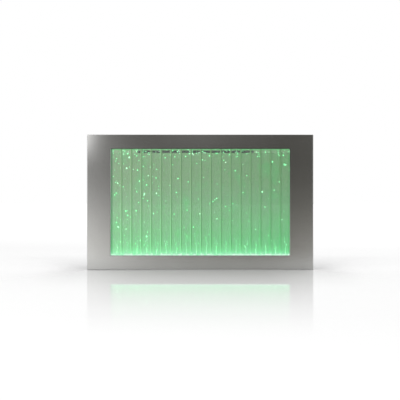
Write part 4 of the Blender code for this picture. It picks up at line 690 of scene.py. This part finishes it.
# Bubbles that are seen singly: millimetres right of the panel's middle and above its base, radius, and how
# drawn out they are
SINGLE_BUBBLES = (
    (-266, 278, 1.9, 1.4), (-276, 240, 2.0, 1.0), (-240, 188, 2.8, 1.3), (-234, 174, 2.6, 1.0),
    (-173, 272, 2.6, 0.9), (-180, 243, 2.3, 1.7), (-170, 221, 1.9, 1.2), (-77, 248, 2.5, 0.9),
    (-84, 178, 2.3, 1.0), (-39, 282, 2.0, 1.0), (41, 219, 2.2, 1.0), (47, 224, 1.9, 1.0), (53, 229, 2.3, 1.0),
    (35, 213, 1.8, 1.0), (196, 250, 2.3, 1.4), (105, 212, 1.9, 1.0), (82, 203, 1.9, 1.0),
    (54, 163, 1.9, 1.0), (150, 302, 1.8, 1.0), (271, 338, 2.1, 1.8), (276, 337, 1.9, 1.6),
    (268, 368, 2.2, 1.4), (233, 347, 2.3, 1.3), (185, 364, 2.0, 0.9), (195, 364, 1.8, 1.0),
    (76, 352, 2.0, 1.0), (82, 345, 1.6, 1.0), (-173, 106, 2.9, 1.2), (-270, 151, 2.0, 1.0),
    (-266, 138, 1.9, 1.0), (-239, 130, 1.8, 1.0), (179, 129, 1.8, 1.0), (-202, 320, 2.2, 1.2),
    (-237, 326, 2.3, 1.3), (-229, 361, 2.6, 1.2), (-234, 373, 2.8, 0.9), (-273, 349, 2.2, 0.6),
    (-270, 357, 2.2, 0.6), (-258, 160, 1.3, 1.0), (-268, 166, 1.2, 1.6), (-205, 251, 1.5, 1.8),
    (-141, 245, 1.6, 1.8), (-141, 323, 1.6, 0.9), (-161, 330, 1.5, 1.2), (-113, 360, 2.0, 1.2),
    (-47, 364, 2.1, 0.9), (5, 353, 2.0, 1.0), (30, 366, 2.0, 1.3), (138, 248, 1.6, 1.2), (262, 160, 1.7, 1.0),
)


def make_rising_bubbles(material):
    """Loose chains in the left channels, a few strays elsewhere and the ones that are seen singly."""
    chance = Random(23)
    bm = bmesh.new()
    base = manifold_high.z
    height = water_level - base
    for number, channel in enumerate(channels):
        count = BUSY_COUNT if number < BUSY_CHANNELS else QUIET_COUNT
        for step in range(count):
            radius = (0.5 + 1.2 * chance.random() ** 2) * MM
            z = base + height * (0.08 + 0.88 * (step + chance.random()) / count)
            centre = bubble_place(chance, channel, radius, within(chance, channel), z)
            add_bubble(bm, centre, radius, tall=0.8 + 1.2 * chance.random() ** 2)
    for x, z, radius, tall in SINGLE_BUBBLES:
        wanted = panel_middle.x + x * MM
        channel = min(channels, key=lambda walls: abs((walls[0] + walls[1]) / 2 - wanted))
        height = min(cad_low.z + z * MM, rear_high.z - 2 * radius * tall * MM)
        radius *= SINGLE_SCALE
        add_bubble(bm, bubble_place(chance, channel, radius * MM, wanted, height), radius * MM, tall)
    piece("rising_bubbles", bm, material)


def make_jets(material, bubble):
    """A slim plume of mixed air and water over each jet, with loose bubbles round it."""
    chance = Random(5)
    plumes = bmesh.new()
    loose = bmesh.new()
    base = manifold_high.z + JET_BASE
    for channel, height_mm in zip(channels, JET_HEIGHTS):
        middle = (channel[0] + channel[1]) / 2
        height = height_mm * MM
        lean = (3 * chance.random() - 1.5) * MM
        profile = [(0, 0)]
        for ring in range(JET_RINGS):
            share = ring / JET_RINGS
            radius = (0.85 - 0.65 * share) * (0.75 + 0.5 * chance.random()) * MM
            profile.append((radius, height * share))
        profile.append((0, height))
        plume = turned(profile, JET_SIDES)
        for vert in plume.verts:
            vert.co.x += lean * (vert.co.z / height) ** 2
        bmesh.ops.translate(plume, verts=plume.verts, vec=(middle, water_middle, base))
        pour(plumes, plume)
        for step in range(JET_BUBBLES):
            radius = (0.35 + 0.6 * chance.random()) * MM
            share = (step + chance.random()) / JET_BUBBLES
            x = middle + lean * share ** 2 + (1.5 + 5 * share) * (2 * chance.random() - 1) * MM
            z = base + 3 * MM + (height + 12 * MM) * share
            add_bubble(loose, bubble_place(chance, channel, radius, x, z), radius, tall=1.6, sides=6)
    piece("jet_plumes", plumes, material)
    piece("jet_bubbles", loose, bubble)


def make_foam(material):
    """Bubbles that gather at the surface of each channel and cling to the panes above it."""
    chance = Random(31)
    bm = bmesh.new()
    for number, channel in enumerate(channels):
        count = FOAMY_COUNT if number < FOAMY_CHANNELS else FOAM_REST_COUNT
        cluster = within(chance, channel)
        for _ in range(count):
            radius = (0.5 + 1.1 * chance.random() ** 1.5) * MM
            above = chance.random() < 0.55
            reach = FOAM_ABOVE if above else -FOAM_BELOW
            z = water_level + reach * chance.random() ** (1 if above else 2)
            near = cluster + 8 * MM * (chance.random() - 0.5)
            x = near if chance.random() < 0.5 else within(chance, channel)
            centre = bubble_place(chance, channel, radius, x, z)
            add_bubble(bm, centre, radius, tall=0.7 + 0.5 * chance.random())
    piece("surface_foam", bm, material)


def add_screw(bm, centre):
    """A low button head with a hexagon socket, seen from behind the panel; its underside is on the centre."""
    radius, height = SCREW_RADIUS, SCREW_HEIGHT
    socket, floor = 0.5 * radius, 0.35 * height
    profile = (
        (0, floor), (socket, floor), (socket, 0.95 * height), (0.62 * radius, height),
        (0.82 * radius, 0.86 * height), (0.96 * radius, 0.5 * height), (radius, 0), (0, 0),
    )
    head = turned(profile, SCREW_SIDES)
    for vert in head.verts:
        flat = Vector((vert.co.x, vert.co.y))
        if abs(flat.length - socket) < 0.01 * MM:
            sector = (flat.angle_signed(Vector((1, 0))) % radians(60)) - radians(30)
            shrink = cos(radians(30)) / cos(sector)
            vert.co.x *= shrink
            vert.co.y *= shrink
    turn = Matrix.Rotation(radians(-90), 4, "X")
    bmesh.ops.transform(head, matrix=Matrix.Translation(centre) @ turn, verts=head.verts)
    pour(bm, head)


def make_screws(material):
    """The heads on the tray's back, over what hangs inside it, and on the hanger rail."""
    tray_back = corners("back_tray")[1].y + SCREW_SEAT
    strap_low, strap_high = corners("pump_strap")
    driver_low, driver_high = corners("power_driver")
    strap_x = (strap_low.x + strap_high.x) / 2
    driver_x = (driver_low.x + driver_high.x) / 2
    places = [
        (strap_x, strap_low.z + STRAP_HOLE), (strap_x, strap_high.z - STRAP_HOLE),
        (driver_x, driver_low.z + EAR_HOLE), (driver_x, driver_high.z - EAR_HOLE),
    ]
    for side, edge, inset in (("left", 1, -FOOT_INSET), ("right", 0, FOOT_INSET)):
        rail = corners(f"cell_rail_{side}")
        height = rail[1].z - rail[0].z
        places += [(rail[edge].x + inset, rail[0].z + height * row / 8) for row in (1, 3, 5, 7)]
    bm = bmesh.new()
    for x, z in places:
        add_screw(bm, Vector((x, tray_back, z)))
    piece("tray_screws", bm, material)
    rail_low, rail_high = corners("hanger_rail")
    bm = bmesh.new()
    for place in (-3, -1, 1, 3):
        x = place * (rail_high.x - rail_low.x) / 8
        add_screw(bm, Vector((x, rail_low.y + HANGER_SHEET + SCREW_SEAT, RAIL_SCREW_RISE)))
    piece("hanger_screws", bm, material)


# The studio

def seen_directly(tree):
    """1 where a ray from the camera, a mirror or a window meets the surface."""
    path = add(tree, "ShaderNodeLightPath").outputs
    first = add(tree, "ShaderNodeMath", {
        0: path["Is Camera Ray"], 1: path["Is Glossy Ray"],
    }, operation="MAXIMUM")
    return add(tree, "ShaderNodeMath", {0: first, 1: path["Is Transmission Ray"]}, operation="MAXIMUM")


def bare(name):
    """A material with nothing in it but its output."""
    material = bpy.data.materials.new(name)
    material.use_nodes = True
    material.node_tree.nodes.remove(material.node_tree.nodes["Principled BSDF"])
    return material, material.node_tree, material.node_tree.nodes["Material Output"]


def clear_from_behind(tree, shader):
    """The shader on a sheet's front, and nothing at all from behind it."""
    rear = add(tree, "ShaderNodeNewGeometry").outputs["Backfacing"]
    return add(tree, "ShaderNodeMixShader", {0: rear, 1: shader, 2: add(tree, "ShaderNodeBsdfTransparent")})


# How much the floor mirrors, from 1.2 m away to the panel's foot
MIRROR = (
    (0.0, 0.0), (0.058, 0.03), (0.125, 0.09), (0.205, 0.18), (0.294, 0.28), (0.4, 0.42), (0.456, 0.48),
    (0.556, 0.62), (0.63, 0.68), (0.71, 0.74), (0.8, 0.74), (0.89, 0.76), (1.0, 0.80),
)
# The floor's own glow: none under the panel, more with the distance, as shares of its reach; where it is left
# out round the panel it paints a soft shadow
FLOOR_LIFT = ((0.0, 0.0), (0.3, 0.03), (0.6, 0.10), (0.85, 0.14), (1.0, 0.155))
FLOOR_LIFT_FAR = 0.25
FLOOR_FAR_FROM = 1.0
FLOOR_FAR_TO = 4.0
# The floor sends out light under the panel's frame, where it reaches the underside
UNDER_LIGHT = 0.5
UNDER_FRONT = 5 * MM
UNDER_EDGE = 2 * MM
# How far the shade round the panel reaches: to its sides, to its sides behind it, and in depth
SHADE_SIDEWAYS = 0.145
SHADE_BEHIND = 0.6
SHADE_DEPTH = 0.5
SHADE_WIDENS_BY = 0.4
# The mirror image weakens towards the panel's ends: from this share of the window, to this much
ENDS_FROM = 0.7
ENDS_LEFT = 0.75


def make_floor():
    """A polished white floor that mirrors what stands on it, less and less with its distance, with a painted
    soft shadow round the panel where its glow is left out.
    """
    material, tree, output = bare("polished_white_floor")
    place = add(tree, "ShaderNodeTexCoord").outputs["Object"]
    x, y, _ = add(tree, "ShaderNodeSeparateXYZ", {0: place}).outputs
    half_depth = (cad_high.y - cad_low.y) / 2
    moved = add(tree, "ShaderNodeMath", {0: y, 1: -panel_middle.y}, operation="ADD")
    away = add(tree, "ShaderNodeMath", {0: moved}, operation="ABSOLUTE")
    near = add(tree, "ShaderNodeMapRange", {
        "Value": away, "From Min": half_depth, "From Max": half_depth + MIRROR_REACH,
        "To Min": 1.0, "To Max": 0.0,
    })
    polish = add(tree, "ShaderNodeValToRGB", {"Fac": near}, stops=MIRROR)
    gloss = add(tree, "ShaderNodeFresnel", {"IOR": 1.5})
    sideways = add(tree, "ShaderNodeMath", {0: x}, operation="ABSOLUTE")
    ends = add(tree, "ShaderNodeMapRange", {
        "Value": sideways, "From Min": window_right * ENDS_FROM, "From Max": cad_high.x,
        "To Min": 1.0, "To Max": ENDS_LEFT,
    })
    past = add(tree, "ShaderNodeMath", {0: sideways, 1: cad_high.x}, operation="SUBTRACT")
    in_front = add(tree, "ShaderNodeMath", {0: away, 1: half_depth}, operation="SUBTRACT")
    in_front = add(tree, "ShaderNodeMath", {0: in_front, 1: 0.0}, operation="MAXIMUM")
    spread = add(tree, "ShaderNodeMath", {
        0: in_front, 1: MIRROR_SPREAD, 2: MIRROR_MARGIN,
    }, operation="MULTIPLY_ADD")
    beside = add(tree, "ShaderNodeMapRange", {
        "Value": past, "From Max": spread, "To Min": ends, "To Max": 0.0,
    })
    share = add(tree, "ShaderNodeMath", {0: polish, 1: beside}, operation="MULTIPLY")
    amount = add(tree, "ShaderNodeMath", {0: gloss, 1: share}, operation="MULTIPLY")
    white = add(tree, "ShaderNodeBsdfDiffuse", {"Color": "#F4F4F4"})
    beyond = add(tree, "ShaderNodeVectorMath", {0: place}, operation="ABSOLUTE")
    reach = Vector((cad_high.x, -cad_low.y, 0))
    beyond = add(tree, "ShaderNodeVectorMath", {0: beyond, 1: reach}, operation="SUBTRACT")
    beyond = add(tree, "ShaderNodeVectorMath", {0: beyond, 1: (0, 0, 0)}, operation="MAXIMUM")
    wider = add(tree, "ShaderNodeMapRange", {
        "Value": y, "From Min": 0.0, "From Max": SHADE_WIDENS_BY,
        "To Min": 1 / SHADE_SIDEWAYS, "To Max": 1 / SHADE_BEHIND,
    })
    shares = add(tree, "ShaderNodeCombineXYZ", {"X": wider, "Y": 1 / SHADE_DEPTH})
    beyond = add(tree, "ShaderNodeVectorMath", {0: beyond, 1: shares}, operation="MULTIPLY")
    beyond = add(tree, "ShaderNodeVectorMath", {0: beyond}, operation="LENGTH")
    # The glow is low round the panel: a painted soft shadow
    lift = add(tree, "ShaderNodeValToRGB", {"Fac": beyond.outputs["Value"]}, stops=FLOOR_LIFT)
    more = add(tree, "ShaderNodeMapRange", {
        "Value": away, "From Min": FLOOR_FAR_FROM, "From Max": FLOOR_FAR_TO, "To Max": FLOOR_LIFT_FAR,
    })
    lift = add(tree, "ShaderNodeMath", {0: lift, 1: more}, operation="ADD")
    shown = add(tree, "ShaderNodeMath", {0: seen_directly(tree), 1: lift}, operation="MULTIPLY")
    low, high = cad_low.y + UNDER_FRONT, corners("front_frame")[1].y - UNDER_EDGE
    middle, half = (low + high) / 2, (high - low) / 2
    under_x = add(tree, "ShaderNodeMath", {0: x, 1: 0.0, 2: cad_high.x - UNDER_EDGE}, operation="COMPARE")
    under_y = add(tree, "ShaderNodeMath", {0: y, 1: middle, 2: half}, operation="COMPARE")
    under = add(tree, "ShaderNodeMath", {0: under_x, 1: under_y}, operation="MULTIPLY")
    shown = add(tree, "ShaderNodeMath", {0: under, 1: UNDER_LIGHT, 2: shown}, operation="MULTIPLY_ADD")
    glow = add(tree, "ShaderNodeEmission", {"Color": "#FFFFFF", "Strength": shown})
    ground = add(tree, "ShaderNodeAddShader", {0: white, 1: glow})
    mirror = add(tree, "ShaderNodeBsdfGlossy", {"Color": "#FFFFFF", "Roughness": 0.04})
    top = add(tree, "ShaderNodeMixShader", {0: amount, 1: ground, 2: mirror})
    wire(output, {"Surface": clear_from_behind(tree, top)})
    bm = bmesh.new()
    drop = Matrix.Translation((0, 0, cad_low.z - FLOOR_DROP))
    bmesh.ops.create_grid(bm, x_segments=1, y_segments=1, size=FLOOR_SIZE, matrix=drop)
    made("floor", bm, material, smooth=False)


# The card's shading, by share of the panel's mirror image: up it or along it, and how bright
CARD_UPWARD = (
    (0.0, 0.33), (0.05, 0.295), (0.10, 0.29), (0.18, 0.28), (0.33, 0.23), (0.48, 0.17), (0.63, 0.13),
    (0.77, 0.105), (1.6, 0.105), (2.1, 1.0),
)
CARD_LEFT = (
    (-0.3, 1.3), (-0.02, 1.15), (0.014, 1.0), (0.036, 0.85), (0.084, 0.68), (0.146, 0.50), (0.234, 0.34),
    (0.32, 0.19), (0.41, 0.11), (0.5, 0.06), (0.68, 0.0),
)
CARD_LEFT_UPWARD = (
    (0.0, 1.02), (0.08, 0.88), (0.18, 0.70), (0.33, 0.59), (0.48, 0.46), (0.63, 0.32), (0.77, 0.26),
    (0.88, 0.27), (0.95, 0.20), (1.1, 0.19),
)
CARD_CORNER = ((-0.05, 1.8), (0.0, 1.2), (0.018, 0.6), (0.036, 0.16), (0.058, 0.07), (0.084, 0.0))
CARD_CORNER_UPWARD = ((0.76, 0.0), (0.84, 0.15), (0.9, 0.6), (0.97, 1.0))
CARD_RIGHT = ((0.85, 0.0), (0.94, 0.1), (1.0, 0.16), (1.3, 1.0))
CARD_RIGHT_UPWARD = ((0.06, 1.0), (0.33, 0.3), (0.55, 0.1))
CARD_TOP = ((0.25, 0.0), (0.42, 0.07), (0.52, 0.09), (0.62, 0.06), (0.78, 0.04), (0.88, 0.01))
CARD_TOP_UPWARD = ((0.82, 0.0), (0.93, 1.0))
CARD_WARMTH = (1.03, 1.0, 0.90)
# The span that the stops above are laid out on, which a colour ramp takes as 0 to 1
CARD_SHARES = (-0.6, 2.4)


def make_card():
    """A graded card in front of the panel that only mirrors see: it is what shades the steel."""
    material, tree, output = bare("graded_grey_card")
    x, _, z = place_xyz(tree)
    reach = 1 + CARD_DISTANCE / CAMERA_DISTANCE
    half = (cad_high - cad_low) / 2 * reach
    low_share, high_share = CARD_SHARES

    def share(value, middle, size):
        inputs = {"Value": value, "From Min": middle + (2 * low_share - 1) * size}
        inputs |= {"From Max": middle + (2 * high_share - 1) * size}
        return add(tree, "ShaderNodeMapRange", inputs)

    def level(factor, stops):
        places = [((place - low_share) / (high_share - low_share), value) for place, value in stops]
        return add(tree, "ShaderNodeValToRGB", {"Fac": factor}, stops=places)

    along = share(x, panel_middle.x, half.x)
    up = share(z, panel_middle.z, half.z)
    inputs = {0: level(up, CARD_UPWARD), 1: CARD_WARMTH}
    total = add(tree, "ShaderNodeVectorMath", inputs, operation="MULTIPLY")
    for first, second in (
        (CARD_LEFT, CARD_LEFT_UPWARD), (CARD_CORNER, CARD_CORNER_UPWARD), (CARD_RIGHT, CARD_RIGHT_UPWARD),
        (CARD_TOP, CARD_TOP_UPWARD),
    ):
        inputs = {0: level(along, first), 1: level(up, second), 2: total}
        total = add(tree, "ShaderNodeVectorMath", inputs, operation="MULTIPLY_ADD")
    glow = add(tree, "ShaderNodeEmission", {"Color": total.outputs["Vector"], "Strength": 1.0})
    wire(output, {"Surface": clear_from_behind(tree, glow)})
    bm = bmesh.new()
    middle = Vector((0, cad_low.y - CARD_DISTANCE, cad_low.z + CARD_RISE / 2))
    size = Matrix.Diagonal((CARD_HALF_WIDTH, CARD_RISE / 2, 1, 1))
    upright = Matrix.Translation(middle) @ Matrix.Rotation(radians(-90), 4, "X") @ size
    bmesh.ops.create_grid(bm, x_segments=1, y_segments=1, size=1, matrix=upright)
    card = made("graded_card", bm, material, smooth=False)
    card.visible_camera = False
    card.visible_diffuse = False
    card.visible_transmission = False
    card.visible_volume_scatter = False
    card.visible_shadow = False


def make_lights():
    """A white room that shows as white and lights a little less, with three soft lamps."""
    world = bpy.data.worlds.new("white_studio")
    bpy.context.scene.world = world
    world.use_nodes = True
    tree = world.node_tree
    strength = add(tree, "ShaderNodeMapRange", {
        "Value": seen_directly(tree), "To Min": SKY_LIGHT, "To Max": 1.0,
    })
    wire(tree.nodes["Background"], {"Color": "#FFFFFF", "Strength": strength})
    for name, place, size, power in SOFTBOXES:
        light = bpy.data.lights.new(name, "AREA")
        light.size = size
        light.energy = power
        lamp = bpy.data.objects.new(name, light)
        lamp.location = place
        lamp.rotation_euler = (panel_middle - Vector(place)).to_track_quat("-Z", "Y").to_euler()
        bpy.context.scene.collection.objects.link(lamp)


def make_camera():
    """Straight in front, at the distance and height that put the panel where the photograph has it."""
    camera = bpy.data.cameras.new("camera")
    camera.sensor_width = SENSOR_WIDTH
    camera.angle = 2 * atan(PICTURE_WIDTH * PIXEL_AT_FACE / 2 / CAMERA_DISTANCE)
    camera.clip_start = 0.01
    camera.clip_end = 200
    item = bpy.data.objects.new("camera", camera)
    item.location = (
        panel_middle.x - (OBJECT_MIDDLE_X - PICTURE_WIDTH / 2) * PIXEL_AT_FACE,
        cad_low.y - CAMERA_DISTANCE,
        panel_middle.z + (OBJECT_MIDDLE_Y - PICTURE_WIDTH / 2) * PIXEL_AT_FACE,
    )
    item.rotation_euler = (pi / 2, 0, 0)
    bpy.context.scene.collection.objects.link(item)
    bpy.context.scene.camera = item


make_camera()
zinc = plated("zinc_plated_steel", 14, "#A9AEB1", "#C2C5C6", 0.34, 0.5)
dress_solids(zinc)
make_water()
make_cement_beads()
bubble = air_bubble()
make_rising_bubbles(bubble)
make_jets(aerated_water(), bubble)
make_foam(bubble)
make_screws(zinc)
make_floor()
make_card()
make_lights()
bpy.context.scene.view_settings.view_transform = "Standard"
